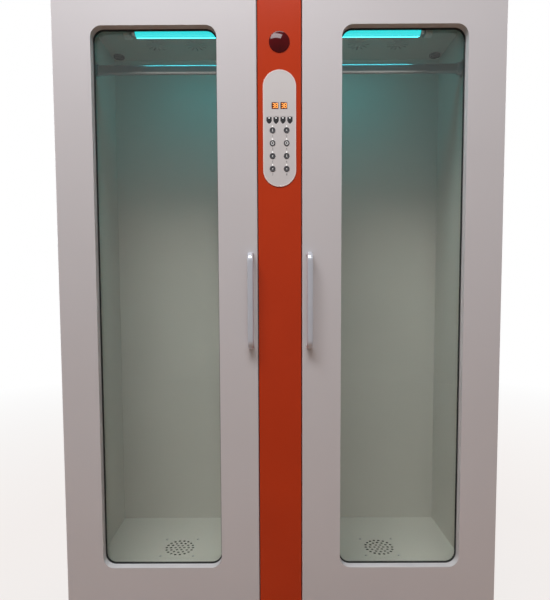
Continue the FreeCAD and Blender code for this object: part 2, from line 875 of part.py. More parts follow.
def hanging_rail():
    """An oval tube from wall to wall, its ends in the two sockets."""
    body = new_body("hanging_rail")
    start = "-(chamber_side - socket_flange)"
    section = Outline(body, "x", start, ("rail_y", "rail_z"))
    section.stadium("rail_thick", "rail_height")
    section.stadium("rail_thick - 2 * rail_wall", "rail_height - 2 * rail_wall")
    section.pad("2 * (chamber_side - socket_flange)")
    return body


def rail_supports():
    """An oval socket on each side wall."""
    body = new_body("rail_support")
    centre = ("rail_y", "rail_z")
    rim = "2 * (socket_wall + socket_rim)"
    wide, tall = f"(rail_thick + {rim}) / 2", f"(rail_height + {rim}) / 2 + socket_ear"
    Outline(body, "x", "-chamber_side", centre).clipped(
        f"-{wide}", wide, f"-({tall})", tall, "socket_ear").pad("socket_flange")
    Outline(body, "x", "-chamber_side", centre).stadium(
        "rail_thick + 2 * socket_wall", "rail_height + 2 * socket_wall").pad("socket_depth")
    Outline(body, "x", "-chamber_side + socket_flange", centre).stadium(
        "rail_thick + 2 * socket_clearance", "rail_height + 2 * socket_clearance").cut(
        "socket_depth - socket_flange")
    return both_sides(body, "rail_supports")


def uv_lamp_tube():
    """The lamp's glass tube."""
    body = new_body("uv_lamp_tube")
    section = Outline(body, "x", "-tube_length / 2 + cap_end", ("tube_y", "tube_z"))
    section.disc("tube_diameter / 2 - cap_wall")
    section.disc("tube_diameter / 2 - cap_wall - tube_glass")
    section.pad("tube_length - 2 * cap_end")
    return body


def uv_lamp_caps():
    """A metal cap with two pins on each end of the tube."""
    body = new_body("uv_lamp_cap")
    centre = ("tube_y", "tube_z")
    Outline(body, "x", "-tube_length / 2", centre).many_sided(ROUND_SIDES, "tube_diameter").pad("cap_length")
    Outline(body, "x", "-tube_length / 2 + cap_end", centre).many_sided(
        ROUND_SIDES, "tube_diameter - 2 * cap_wall").cut("cap_length - cap_end")
    pins = Outline(body, "x", "-tube_length / 2 - cap_pin_reach", centre)
    for y in ("-cap_pin_spacing / 2", "cap_pin_spacing / 2"):
        pins.many_sided(SMALL_SIDES, "cap_pin", y)
    pins.pad("cap_pin_reach")
    return both_sides(body, "uv_lamp_caps")


def lamp_holders():
    """A round-nosed socket for each end of the lamp, hung from the ceiling."""
    body = new_body("lamp_holder")
    centre = ("tube_y", "tube_z")
    Outline(body, "x", "-tube_length / 2 - holder_thick", centre).rectangle(
        "-holder_width / 2", "holder_width / 2", "-holder_width / 2", "tube_drop").pad("holder_thick")
    low = number("tube_z - holder_width / 2")
    round_edges(body, "holder_width * 0.4",
                lambda middle, way: abs(middle.z - low) < 0.01 and abs(way.y) < 0.01)
    pins = Outline(body, "x", "-tube_length / 2 - cap_pin_reach", centre)
    for y in ("-cap_pin_spacing / 2", "cap_pin_spacing / 2"):
        pins.many_sided(SMALL_SIDES, "cap_pin + 2 * socket_clearance", y)
    pins.cut("cap_pin_reach")
    return both_sides(body, "lamp_holders")


# ---------------------------------------------------------------- fans and heaters


def fan_housing():
    """A square fan frame with a round duct, four arms and the bearing tube for the rotor's shaft."""
    body = new_body("fan_housing_left")
    centre = ("-fan_x", "fan_y")
    Outline(body, "z", "fan_low", centre).clipped(
        "-fan_size / 2", "fan_size / 2", "-fan_size / 2", "fan_size / 2", "fan_corner").pad("fan_thick")
    Outline(body, "z", "fan_low", centre).many_sided(DUCT_SIDES, "fan_bore").cut("fan_thick")
    arm = Outline(body, "z", "fan_low", centre)
    arm.rectangle("0", "fan_bore / 2 + arm_lap", "-arm_width / 2", "arm_width / 2")
    arm.repeat_round(arm.pad("arm_thick"), "4")
    Outline(body, "z", "fan_low", centre).many_sided(ROUND_SIDES, "hub_diameter").pad("arm_thick")
    Outline(body, "z", "fan_low", centre).many_sided(
        SMALL_SIDES, "shaft_diameter + 2 * bearing_clearance + 2 * bearing_wall").pad("bearing_length")
    Outline(body, "z", "fan_low + arm_thick", centre).disc(
        "shaft_diameter / 2 + bearing_clearance").cut("bearing_length - arm_thick")
    screw = Outline(body, "z", "fan_low", centre)
    screw.many_sided(SMALL_SIDES, "fan_screw + 2 * screw_clearance", "fan_screws / 2", "fan_screws / 2")
    screw.repeat_round(screw.cut("fan_thick"), "4")
    return body


def fan_rotor():
    """The rotor: a cup-shaped hub, its shaft and a ring of cambered blades trimmed to one circle."""
    body = new_body("fan_rotor_left")
    centre = ("-fan_x", "fan_y")
    hub_low = "fan_low + arm_thick + hub_lift"
    Outline(body, "z", hub_low, centre).many_sided(ROUND_SIDES, "hub_diameter").pad("hub_height")
    Outline(body, "z", hub_low, centre).many_sided(
        ROUND_SIDES, "hub_diameter - 2 * hub_wall").cut("hub_height - hub_wall")
    Outline(body, "z", "fan_low + arm_thick + shaft_end", centre).disc("shaft_diameter / 2").pad(
        "hub_lift + hub_height - hub_wall - shaft_end")
    root = "hub_diameter / 2 - hub_wall * 0.85"
    section = Outline(body, "x", f"-fan_x + {root}", ("fan_y", f"{hub_low} + hub_height / 2"))
    section.polygon(blade_section())
    blade = section.pad(f"rotor_diameter / 2 - ({root})")
    Outline(body, "z", hub_low, centre).repeat_round(blade, "blade_count")
    rim = Outline(body, "z", hub_low, centre)
    rim.disc("rotor_diameter / 2")
    rim.disc("rotor_diameter / 2 + blade_sweep")
    rim.cut("hub_height")
    return body


def blade_section():
    """A blade's section, pitched across the duct and bowed along a parabola: one face, then the other."""
    lower, upper = [], []
    for step in (-1, -1 / 3, 1 / 3, 1):
        y = f"{step:.4f} * blade_sweep / 2"
        z = f"{step:.4f} * blade_rise / 2 + blade_camber * {1 - step * step:.4f}"
        lower.append((y, f"{z} - blade_thick / 2"))
        upper.append((y, f"{z} + blade_thick / 2"))
    return lower + upper[::-1]


def heater():
    """A finned heating element in a square frame, under the fan."""
    body = new_body("heater_left")
    centre = ("-fan_x", "fan_y")
    inside = "fan_size / 2 - heater_wall"
    Outline(body, "z", "heater_low", centre).clipped(
        "-fan_size / 2", "fan_size / 2", "-fan_size / 2", "fan_size / 2", "fan_corner").pad("heater_thick")
    Outline(body, "z", "heater_low", centre).rectangle(
        f"-({inside})", inside, f"-({inside})", inside).cut("heater_thick")
    span = "(fin_count - 1) * fin_pitch"
    fin = Outline(body, "z", "heater_low", centre)
    fin.rectangle(f"-({inside}) - fin_thick", f"{inside} + fin_thick",
                  f"-{span} / 2 - fin_thick / 2", f"-{span} / 2 + fin_thick / 2")
    fin.repeat_along(fin.pad("heater_thick"), "V_Axis", span, "fin_count")
    return body


def vent_screws():
    """The four screws that hold each fan under the floor."""
    screws = []
    for x in ("fan_screws / 2", "-fan_screws / 2"):
        for y in ("fan_screws / 2", "-fan_screws / 2"):
            body = new_body("vent_screw")
            centre = (f"-fan_x + ({x})", f"fan_y + ({y})")
            head = Outline(body, "z", "chamber_floor", centre)
            head.many_sided(SMALL_SIDES, "2 * fan_screw").pad("screw_head")
            shank = Outline(body, "z", "chamber_floor - screw_length", centre)
            shank.many_sided(SMALL_SIDES, "fan_screw").pad("screw_length")
            screws += [body, mirrored(body, "vent_screw_mirrored")]
    return grouped(screws, "vent_screws")


# ---------------------------------------------------------------- what stands on the ceiling, and the inlet


def module(label, name):
    """A boxed unit on a foot plate, on top of the chamber ceiling."""
    body = new_body(label)
    centre = ("0", f"body_front + {name}_setback")
    Outline(body, "z", "ceiling_over", centre).rectangle(
        f"-{name}_width / 2 - module_ear", f"{name}_width / 2 + module_ear",
        f"-{name}_depth / 2", f"{name}_depth / 2").pad("sheet")
    Outline(body, "z", "ceiling_over", centre).rectangle(
        f"-{name}_width / 2", f"{name}_width / 2",
        f"-{name}_depth / 2", f"{name}_depth / 2").pad(f"{name}_tall")
    holes = Outline(body, "z", "ceiling_over", centre)
    for x in (f"-{name}_width / 2 - module_ear / 2", f"{name}_width / 2 + module_ear / 2"):
        holes.many_sided(SMALL_SIDES, "fan_screw + 2 * screw_clearance", x)
    holes.cut("sheet")
    return body


def power_supply():
    """The low-voltage supply, with cooling slots across its cover."""
    body = module("power_supply", "supply")
    slot = Outline(body, "z", "ceiling_over + supply_tall - sheet", ("0", "body_front + supply_setback"))
    slot.rectangle("-supply_width * 0.3 - cover_slot / 2", "-supply_width * 0.3 + cover_slot / 2",
                   "-supply_depth * 0.3", "supply_depth * 0.3")
    slot.repeat_along(slot.cut("sheet"), "H_Axis", "supply_width * 0.6", "7")
    return body


def ozone_generator():
    """The ozone unit, with an outlet spigot towards each port."""
    body = module("ozone_generator", "ozone")
    outlets = Outline(body, "y", "body_front + ozone_setback + ozone_depth / 2",
                      ("0", "ceiling_over + ozone_tall / 2"))
    for x in ("-ozone_width / 4", "ozone_width / 4"):
        outlets.many_sided(SMALL_SIDES, "port_bore + 2", x)
    outlets.pad("module_ear")
    return body


def ozone_nozzles():
    """A round ozone port in each back corner of the ceiling, its stub passing up through the lining."""
    body = new_body("ozone_nozzle")
    centre = ("-port_x", "port_y")
    Outline(body, "z", "chamber_ceiling - port_depth", centre).many_sided(ROUND_SIDES, "port_diameter").pad(
        "port_depth")
    Outline(body, "z", "chamber_ceiling", centre).many_sided(ROUND_SIDES, "port_stub").pad("port_reach")
    Outline(body, "z", "chamber_ceiling - port_depth", centre).many_sided(ROUND_SIDES, "port_bore").cut(
        "port_depth + port_reach")
    return both_sides(body, "ozone_nozzles")


def power_inlet():
    """The appliance inlet behind the rear panel: a flanged shell with three blades."""
    body = new_body("power_inlet")
    centre = ("inlet_x", "inlet_z")
    wide, tall = "inlet_width / 2", "inlet_tall / 2"
    Outline(body, "y", "rear_inside - inlet_depth", centre).rectangle(
        f"-{wide}", wide, f"-{tall}", tall).pad("inlet_depth + sheet")
    Outline(body, "y", "rear_inside - inlet_flange", centre).clipped(
        f"-{wide} - inlet_ear", f"{wide} + inlet_ear", f"-{tall} - inlet_flange", f"{tall} + inlet_flange",
        "inlet_flange").pad("inlet_flange")
    Outline(body, "y", "rear - inlet_recess", centre).rectangle(
        f"-{wide} + inlet_wall", f"{wide} - inlet_wall",
        f"-{tall} + inlet_wall", f"{tall} - inlet_wall").cut("inlet_recess")
    blades = Outline(body, "y", "rear - inlet_recess", centre)
    for x, z in (("-inlet_pitch", "-1"), ("0", "3"), ("inlet_pitch", "-1")):
        blades.rectangle(f"{x} - 1", f"{x} + 1", f"{z} - 2", f"{z} + 2")
    blades.pad("inlet_recess - inlet_flange")
    return body


# ---------------------------------------------------------------- hinges and doors


def hinges(label, upper):
    """A bracket at each outer corner: a leg on the casing and a plate that carries the pivot pin."""
    body = new_body(label)
    lift = "bush_flange + bush_lift"
    plate_low = f"door_high + {lift}" if upper else f"door_low - ({lift}) - hinge_plate"
    leg_low = f"{plate_low} + hinge_plate - hinge_leg" if upper else plate_low
    pin_low = f"{plate_low} - pin_reach" if upper else f"{plate_low} + hinge_plate"
    left = "-half_width + hinge_edge"
    Outline(body, "z", plate_low).polygon([
        (left, "body_front"), (left, "hinge_y"), ("-hinge_x - pin_diameter / 2", "hinge_y - pin_diameter"),
        ("-hinge_x + pin_diameter", "hinge_y - pin_diameter"),
        (f"{left} + hinge_width", "body_front - hinge_plate"),
        (f"{left} + hinge_width", "body_front")]).pad("hinge_plate")
    Outline(body, "z", leg_low).rectangle(
        f"{left} + hinge_width - hinge_leg", f"{left} + hinge_width",
        "body_front - hinge_plate", "body_front").pad("hinge_leg")
    Outline(body, "z", pin_low).disc("pin_diameter / 2", "-hinge_x", "hinge_y").pad("pin_reach")
    return both_sides(body, label)


def window(outline, grow):
    """The window's rounded outline, grown or shrunk all round, on the left door."""
    outline.rounded(f"-window_out - ({grow})", f"-window_in + ({grow})",
                    f"window_low - ({grow})", f"window_high + ({grow})", f"window_corner + ({grow})")
    return outline


def door_skin():
    """The door's outer shell: front, four sides and the walls that lead in to the window."""
    body = new_body("left_door_skin")
    Outline(body, "y", "door_front").rectangle(
        "-half_width", "-door_inner", "door_low", "door_high").pad("door_thick")
    front = number("door_front")
    round_edges(body, "door_round", lambda middle, way: abs(middle.y - front) < 0.01)
    hollow = Outline(body, "y", "door_front + sheet")
    hollow.rectangle("-half_width + sheet", "-door_inner - sheet", "door_low + sheet", "door_high - sheet")
    window(hollow, "sheet").cut("door_thick - sheet")
    window(Outline(body, "y", "reveal_end"), "sheet").cut("door_back - reveal_end")
    window(Outline(body, "y", "door_front"), "0").cut("door_thick")
    for at in ("door_low", "door_high - sheet"):
        Outline(body, "z", at, ("-hinge_x", "hinge_y")).many_sided(SMALL_SIDES, "bush_neck").cut("sheet")
    return body


def door_inner_pan():
    """The sheet that closes the door's back and holds the glass in its gasket."""
    body = new_body("left_door_inner_pan")
    outline = Outline(body, "y", "pan_plane")
    outline.rectangle("-half_width + sheet", "-door_inner - sheet", "door_low + sheet", "door_high - sheet")
    window(outline, "0").pad("sheet")
    return body


def door_glass():
    """The tinted pane."""
    body = new_body("left_door_glass")
    window(Outline(body, "y", "glass_front"), "glass_cover").pad("glass_thick")
    return body


def glass_gasket():
    """A rubber channel round the pane, with one lip in front of it and one behind."""
    body = new_body("left_glass_gasket")
    ring = Outline(body, "y", "reveal_end")
    window(ring, "glass_cover + gasket_edge")
    window(ring, "-gasket_show").pad("pan_plane - reveal_end")
    window(Outline(body, "y", "glass_front"), "glass_cover").cut("glass_thick")
    return body


def magnetic_seal():
    """The seal on the door's back, just outside the doorway on all four sides."""
    body = new_body("left_magnetic_seal")
    ring = Outline(body, "y", "door_back")
    for grow in ("seal_margin + seal_width", "seal_margin"):
        ring.rectangle(f"-inner_side - ({grow})", f"-half_post + {grow}",
                       f"chamber_floor - ({grow})", f"chamber_ceiling + {grow}")
    ring.pad("door_gap - seal_clearance")
    return body


def door_handle():
    """A bow handle: one flattened bar bent twice, its ends on the door."""
    body = new_body("left_door_handle")
    out = "-handle_reach + handle_thick / 2"
    end = "handle_pitch / 2"
    spine = Outline(body, "x", "-handle_x", ("door_front", "handle_middle"))
    x, z, r = number(out), number(end), number("handle_bend")
    sketch = spine.sketch
    upper = Part.Circle(Vector(x + r, z - r, 0), Vector(0, 0, 1), r)
    lower = Part.Circle(Vector(x + r, r - z, 0), Vector(0, 0, 1), r)
    sketch.addGeometry(Part.LineSegment(Vector(0, z, 0), Vector(x + r, z, 0)))
    sketch.addGeometry(Part.ArcOfCircle(upper, math.pi / 2, math.pi))
    sketch.addGeometry(Part.LineSegment(Vector(x, z - r, 0), Vector(x, r - z, 0)))
    sketch.addGeometry(Part.ArcOfCircle(lower, math.pi, 1.5 * math.pi))
    sketch.addGeometry(Part.LineSegment(Vector(x + r, -z, 0), Vector(0, -z, 0)))
    for index in range(4):
        sketch.addConstraint(Sketcher.Constraint("Tangent", index, 2, index + 1, 1))
    for index, kind in ((0, "Horizontal"), (2, "Vertical"), (4, "Horizontal")):
        sketch.addConstraint(Sketcher.Constraint(kind, index))
    sketch.addConstraint(Sketcher.Constraint("Equal", 1, 3))
    spine.constrain("Radius", 1, text="handle_bend")
    spine.constrain("DistanceX", -1, 1, 2, 1, text=out)
    spine.place(0, 1, "0", end)
    spine.place(4, 2, "0", f"-{end}")
    section = Outline(body, "y", "door_front", ("-handle_x", f"handle_middle + {end}"))
    wide, thick, bevel = "handle_width / 2", "handle_thick / 2", "handle_bevel"
    section.polygon([
        (f"-{wide}", f"-{thick}"), (wide, f"-{thick}"),
        (wide, f"{thick} - {bevel}"), (f"{wide} - {bevel}", thick),
        (f"-{wide} + {bevel}", thick), (f"-{wide}", f"{thick} - {bevel}")])
    document.recompute()
    bar = section.feature("PartDesign::AdditivePipe", "Bar")
    bar.Spine = (sketch, [f"Edge{index}" for index in range(1, 6)])
    return body


def hinge_bushes():
    """A plastic block in each outer corner of the door, bored for its pin, with a flange outside."""
    blocks = []
    for upper in (True, False):
        body = new_body("hinge_bush")
        block_low = "door_high - sheet - bush_depth" if upper else "door_low + sheet"
        neck_low = "door_high - sheet" if upper else "door_low - bush_flange"
        flange_low = "door_high" if upper else "door_low - bush_flange"
        centre = ("-hinge_x", "hinge_y")
        Outline(body, "z", block_low).rectangle(
            "-half_width + sheet", "-half_width + sheet + bush_block",
            "door_front + sheet", "pan_plane").pad("bush_depth")
        Outline(body, "z", neck_low, centre).many_sided(SMALL_SIDES, "bush_neck").pad("sheet + bush_flange")
        Outline(body, "z", flange_low, centre).many_sided(
            SMALL_SIDES, "bush_neck + 2 * bush_flange").pad("bush_flange")
        bore_low = block_low if upper else flange_low
        Outline(body, "z", bore_low, centre).disc("pin_diameter / 2 + pin_clearance").cut(
            "bush_depth + sheet + bush_flange")
        blocks.append(body)
    return grouped(blocks, "left_hinge_bushes")


# ---------------------------------------------------------------- the whole cabinet


def build():
    """Make every sub-part, the right-hand ones as mirror images of the left-hand ones."""
    left = [side_panel(), liner_side(), fan_housing(), fan_rotor(), heater(), door_skin(), door_inner_pan(),
            door_glass(), glass_gasket(), magnetic_seal(), door_handle(), hinge_bushes()]
    right = [mirrored(piece, piece.Label.replace("left", "right")) for piece in left]
    keys = [key(index, x, z) for index, (x, z) in enumerate(key_places(), start=1)]
    return left + right + keys + [
        base_tray(), top_panel(), rear_panel(), levelling_feet(),
        liner_back(), liner_floor(), liner_ceiling(),
        centre_post(), fascia_panel(), control_plate(), control_board(), display_modules(), indicator_lamps(),
        status_lens(), hanging_rail(), rail_supports(), uv_lamp_tube(), uv_lamp_caps(), lamp_holders(),
        vent_screws(), module("lamp_ballast", "ballast"), power_supply(), ozone_generator(), ozone_nozzles(),
        power_inlet(), hinges("upper_hinges", True), hinges("lower_hinges", False)]


def check(subparts):
    """Stop if anything failed to build or a cut took nothing away."""
    for item in document.Objects:
        if "Invalid" in item.State or "Error" in item.State:
            raise RuntimeError(f"{item.Label} failed: {item.State}")
        if item.TypeId == "PartDesign::Pocket":
            removed = item.BaseFeature.Shape.Volume - item.Shape.Volume
            if removed < 1:
                raise RuntimeError(f"{item.Label} of {item.getParentGeoFeatureGroup().Label} cuts nothing")
    for piece in subparts:
        if piece.Shape.isNull() or not piece.Shape.isValid() or not piece.Shape.Solids:
            raise RuntimeError(f"{piece.Label} has no valid solid")


places = write_sheet()
subparts = build()
document.recompute()
check(subparts)
os.makedirs("parts", exist_ok=True)
for piece in subparts:
    piece.Shape.exportStep(f"parts/{piece.Label}.step")
print(f"{len(subparts)} sub-parts written")
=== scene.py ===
"""The looks of a two-door drying and disinfecting cabinet.

Everything is in metres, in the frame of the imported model: X runs to the right, -Y faces the user, +Z is
up, and the origin is on the floor. Plain sheet pieces keep their solids and get a finish. Pieces with
finer form than their solids, such as the handles, the keys and the drilled chamber floor, are built here
in the place of the solid that they stand for.
"""

import logging
import math
from dataclasses import dataclass
from enum import Enum
from typing import Optional, Protocol, Sequence, Union

import bmesh
import bpy
from mathutils import Matrix, Vector


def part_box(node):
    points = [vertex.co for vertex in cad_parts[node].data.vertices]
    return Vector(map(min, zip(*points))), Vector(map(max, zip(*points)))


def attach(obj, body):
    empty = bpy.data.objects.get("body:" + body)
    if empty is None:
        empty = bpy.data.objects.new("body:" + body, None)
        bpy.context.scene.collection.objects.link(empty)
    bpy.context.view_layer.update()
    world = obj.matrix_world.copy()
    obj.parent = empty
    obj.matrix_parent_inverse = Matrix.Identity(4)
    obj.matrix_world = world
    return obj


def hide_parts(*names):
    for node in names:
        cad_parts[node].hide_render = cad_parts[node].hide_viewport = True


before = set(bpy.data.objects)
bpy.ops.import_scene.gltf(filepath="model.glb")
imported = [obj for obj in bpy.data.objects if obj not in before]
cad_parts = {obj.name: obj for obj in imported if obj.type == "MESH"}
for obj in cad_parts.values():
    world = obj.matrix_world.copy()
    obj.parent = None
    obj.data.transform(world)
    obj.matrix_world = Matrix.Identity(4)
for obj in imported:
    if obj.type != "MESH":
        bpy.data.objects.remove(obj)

MM = 0.001
# The bend above which an edge looks sharp. It is smaller on flat sheets, so that a wide face isn't shaded
# together with the narrow rounding beside it.
SMOOTH_ANGLE = math.radians(38)
FLAT_ANGLE = math.radians(20)
# Points of a mesh that lie nearer than this are one point.
WELD = 0.002 * MM
# How far the radius of a round end stays under half the width, so that no side has the length 0.
END_GAP = 0.001 * MM
# How bright the front of the studio looks in a polished surface, where its back is 1.
FRONT_LEVEL = 0.3
# The inputs of a Geometry Nodes tree that makes a flat sheet.
SHEET_SIZES = ("Width", "Depth", "Thickness")

Point = tuple[float, float]
Loop = list[Point]
Tree = bpy.types.NodeTree
Node = bpy.types.Node
Socket = bpy.types.NodeSocket
Mesh = bpy.types.Mesh
Value = Union[float, Socket]

log = logging.getLogger("drying_cabinet")
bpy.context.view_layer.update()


# ---------------------------------------------------------------- nodes


def add_node(tree: Tree, kind: str, settings: Optional[dict] = None,
             inputs: Optional[dict] = None) -> Node:
    """Add a node, set its properties and fill its inputs.

    Args:
        tree: The tree that gets the node.
        kind: The node's type name.
        settings: Properties of the node by name.
        inputs: Values, sockets to link from, or lists of such sockets, by the input's name or index.

    Returns:
        The new node.
    """
    node = tree.nodes.new(kind)
    for name, value in (settings or {}).items():
        setattr(node, name, value)
    for key, value in (inputs or {}).items():
        if isinstance(value, list):
            for source in value:
                tree.links.new(source, node.inputs[key])
        elif isinstance(value, Socket):
            tree.links.new(value, node.inputs[key])
        else:
            node.inputs[key].default_value = value
    return node


def geometry_tree(name: str, sizes: Sequence[str]) -> tuple[Tree, dict]:
    """Start a Geometry Nodes tree with one named number for each size.

    Args:
        name: The tree's name.
        sizes: The names of its inputs; a name that starts with "Count" is a whole number.

    Returns:
        The tree and its input sockets by name.
    """
    tree = bpy.data.node_groups.new(name, "GeometryNodeTree")
    tree.interface.new_socket("Geometry", in_out="INPUT", socket_type="NodeSocketGeometry")
    for size in sizes:
        kind = "NodeSocketInt" if size.startswith("Count") else "NodeSocketFloat"
        tree.interface.new_socket(size, in_out="INPUT", socket_type=kind)
    tree.interface.new_socket("Geometry", in_out="OUTPUT", socket_type="NodeSocketGeometry")
    return tree, dict(add_node(tree, "NodeGroupInput").outputs.items())


def close_tree(tree: Tree, geometry: Socket, finish: "Finish") -> None:
    """End a tree: make its instances real and give them their finish.

    Args:
        tree: The tree.
        geometry: What it has made.
        finish: The finish of all of it.
    """
    real = add_node(tree, "GeometryNodeRealizeInstances", inputs={"Geometry": geometry})
    dressed = add_node(tree, "GeometryNodeSetMaterial", inputs={
        "Geometry": real.outputs["Geometry"], "Material": finish.material()})
    add_node(tree, "NodeGroupOutput", inputs={"Geometry": dressed.outputs["Geometry"]})


def hoop(tree: Tree, sides: Value, radius: Value) -> Socket:
    """A circle as a curve."""
    return add_node(tree, "GeometryNodeCurvePrimitiveCircle", {"mode": "RADIUS"}, {
        "Resolution": sides, "Radius": radius}).outputs["Curve"]


def spots(tree: Tree, count: Value, radius: Value) -> Socket:
    """Points spaced evenly round a circle."""
    return add_node(tree, "GeometryNodeMeshCircle", inputs={
        "Vertices": count, "Radius": radius}).outputs["Mesh"]


def copies(tree: Tree, points: Socket, shape: Socket, **more: object) -> Socket:
    """The shape on every point, with further inputs such as its Rotation."""
    return add_node(tree, "GeometryNodeInstanceOnPoints", inputs={
        "Points": points, "Instance": shape, **more}).outputs["Instances"]


def outward(tree: Tree, axis: str) -> Socket:
    """The rotation that points a local axis away from the middle, for each point."""
    return add_node(tree, "FunctionNodeAlignRotationToVector", {"axis": axis}, {
        "Vector": add_node(tree, "GeometryNodeInputPosition").outputs["Position"]}).outputs["Rotation"]


def shifted(tree: Tree, geometry: Socket, x: float, y: float, turn: float = 0.0) -> Socket:
    """Geometry turned about Z and carried to a place in its plane."""
    return add_node(tree, "GeometryNodeTransform", inputs={
        "Geometry": geometry, "Translation": (x, y, 0.0), "Rotation": (0.0, 0.0, turn)}).outputs["Geometry"]


def together(tree: Tree, parts: list[Socket]) -> Socket:
    """Several geometries as one."""
    return add_node(tree, "GeometryNodeJoinGeometry", inputs={"Geometry": parts}).outputs["Geometry"]


def linked(name: str, data: bpy.types.ID) -> bpy.types.Object:
    """Make an object of this data in the scene.

    Args:
        name: The object's name.
        data: Its mesh, light or camera.

    Returns:
        The new object.
    """
    made = bpy.data.objects.new(name, data)
    bpy.context.scene.collection.objects.link(made)
    return made


def grow(tree: Tree, values: dict, host: Optional[Mesh] = None) -> Mesh:
    """Run a Geometry Nodes tree and keep its result as a plain mesh.

    Args:
        tree: The finished tree.
        values: Its inputs by name.
        host: The mesh that it works on, or none.

    Returns:
        The mesh that the tree makes.
    """
    carrier = linked(tree.name, host or bpy.data.meshes.new(tree.name))
    modifier = carrier.modifiers.new(tree.name, "NODES")
    modifier.node_group = tree
    for item in tree.interface.items_tree:
        if item.in_out == "INPUT" and item.name in values:
            modifier[item.identifier] = values[item.name]
    evaluated = carrier.evaluated_get(bpy.context.evaluated_depsgraph_get())
    mesh = bpy.data.meshes.new_from_object(evaluated)
    carrier.modifiers.remove(modifier)
    bpy.data.objects.remove(carrier)
    return mesh


def seen_by(tree: Tree, ray: str) -> Socket:
    """Tell the rays of one kind that have met nothing matt on their way from all others.

    Args:
        tree: The tree that gets the nodes.
        ray: The kind, as an output of the Light Path node.

    Returns:
        1 for such a ray, and 0 for every other.
    """
    path = add_node(tree, "ShaderNodeLightPath")
    direct = add_node(tree, "ShaderNodeMath", {"operation": "LESS_THAN"}, {
        0: path.outputs["Diffuse Depth"], 1: 0.5})
    return add_node(tree, "ShaderNodeMath", {"operation": "MULTIPLY"}, {
        0: path.outputs[ray], 1: direct.outputs["Value"]}).outputs["Value"]


# ---------------------------------------------------------------- finishes


def linear(colour: str) -> tuple[float, float, float, float]:
    """Turn an sRGB colour into the linear colour that a shader takes.

    Args:
        colour: The colour in hex, such as "#C8C6C7".

    Returns:
        Red, green, blue and an alpha of 1.
    """
    channels = [int(colour[at:at + 2], 16) / 255 for at in (1, 3, 5)]
    red, green, blue = (value / 12.92 if value <= 0.04045 else ((value + 0.055) / 1.055) ** 2.4
                        for value in channels)
    return red, green, blue, 1.0


@dataclass(frozen=True)
class Finish:
    """A material: its base colour and gloss, with noise relief and colour drift at real sizes.

    Attributes:
        name: What the material is and how its surface was made.
        colour: The base colour, sRGB hex.
        shade: The colour that the base drifts towards in patches, sRGB hex.
        roughness: The mean roughness.
        drift: How far the roughness strays from its mean.
        metallic: 1 for bare metal.
        ior: Refractive index; a metal keeps the default.
        specular: Strength of the mirror reflection; 0.5 is what the index alone gives.
        coat: Weight of a clear top layer.
        coat_roughness: Roughness of that layer.
        grain_mm: Wavelength of the relief.
        relief_mm: Height of the relief.
        patch_mm: Size of the patches in which colour and roughness drift.
        stretch: How the grain is drawn out along X, Y and Z; a small number makes it long.
    """

    name: str
    colour: str
    shade: str
    roughness: float
    drift: float = 0.04
    metallic: float = 0.0
    ior: float = 1.5
    specular: float = 0.5
    coat: float = 0.0
    coat_roughness: float = 0.03
    grain_mm: float = 2.0
    relief_mm: float = 0.02
    patch_mm: float = 120.0
    stretch: tuple[float, float, float] = (1.0, 1.0, 1.0)

    def material(self) -> bpy.types.Material:
        """Give the material itself, made the first time that it is asked for.

        Returns:
            The material.
        """
        material = bpy.data.materials.get(self.name)
        if material:
            return material
        material = bpy.data.materials.new(self.name)
        material.use_nodes = True
        tree = material.node_tree
        tree.nodes.clear()
        shader = add_node(tree, "ShaderNodeBsdfPrincipled", inputs={
            "Base Color": linear(self.colour), "Roughness": self.roughness, "Metallic": self.metallic,
            "IOR": self.ior, "Specular IOR Level": self.specular, "Coat Weight": self.coat,
            "Coat Roughness": self.coat_roughness})
        place = add_node(tree, "ShaderNodeTexCoord").outputs["Object"]
        self.pattern(tree, shader, place)
        add_node(tree, "ShaderNodeOutputMaterial", inputs={"Surface": self.surface(tree, shader)})
        return material

    def pattern(self, tree: Tree, shader: Node, place: Socket) -> None:
        """Add the relief, and the patches of colour and roughness.

        Args:
            tree: The material's tree.
            shader: Its principled shader.
            place: The place on the object.
        """
        mapped = add_node(tree, "ShaderNodeMapping", inputs={"Vector": place, "Scale": self.stretch})
        grain = add_node(tree, "ShaderNodeTexNoise", inputs={
            "Vector": mapped.outputs["Vector"], "Scale": 1 / (self.grain_mm * MM), "Detail": 2.0})
        bump = add_node(tree, "ShaderNodeBump", inputs={
            "Height": grain.outputs["Fac"], "Distance": self.relief_mm * MM, "Strength": 1.0})
        patch = add_node(tree, "ShaderNodeTexNoise", inputs={
            "Vector": place, "Scale": 1 / (self.patch_mm * MM), "Detail": 3.0})
        colour = add_node(tree, "ShaderNodeMix", {"data_type": "RGBA"}, {
            0: patch.outputs["Fac"], 6: linear(self.colour), 7: linear(self.shade)})
        gloss = add_node(tree, "ShaderNodeMapRange", inputs={
            "Value": patch.outputs["Fac"], "To Min": max(self.roughness - self.drift, 0.0),
            "To Max": min(self.roughness + self.drift, 1.0)})
        tree.links.new(bump.outputs["Normal"], shader.inputs["Normal"])
        tree.links.new(colour.outputs[2], shader.inputs["Base Color"])
        tree.links.new(gloss.outputs["Result"], shader.inputs["Roughness"])

    def surface(self, tree: Tree, shader: Node) -> Socket:
        """What the material's output takes."""
        return shader.outputs["BSDF"]


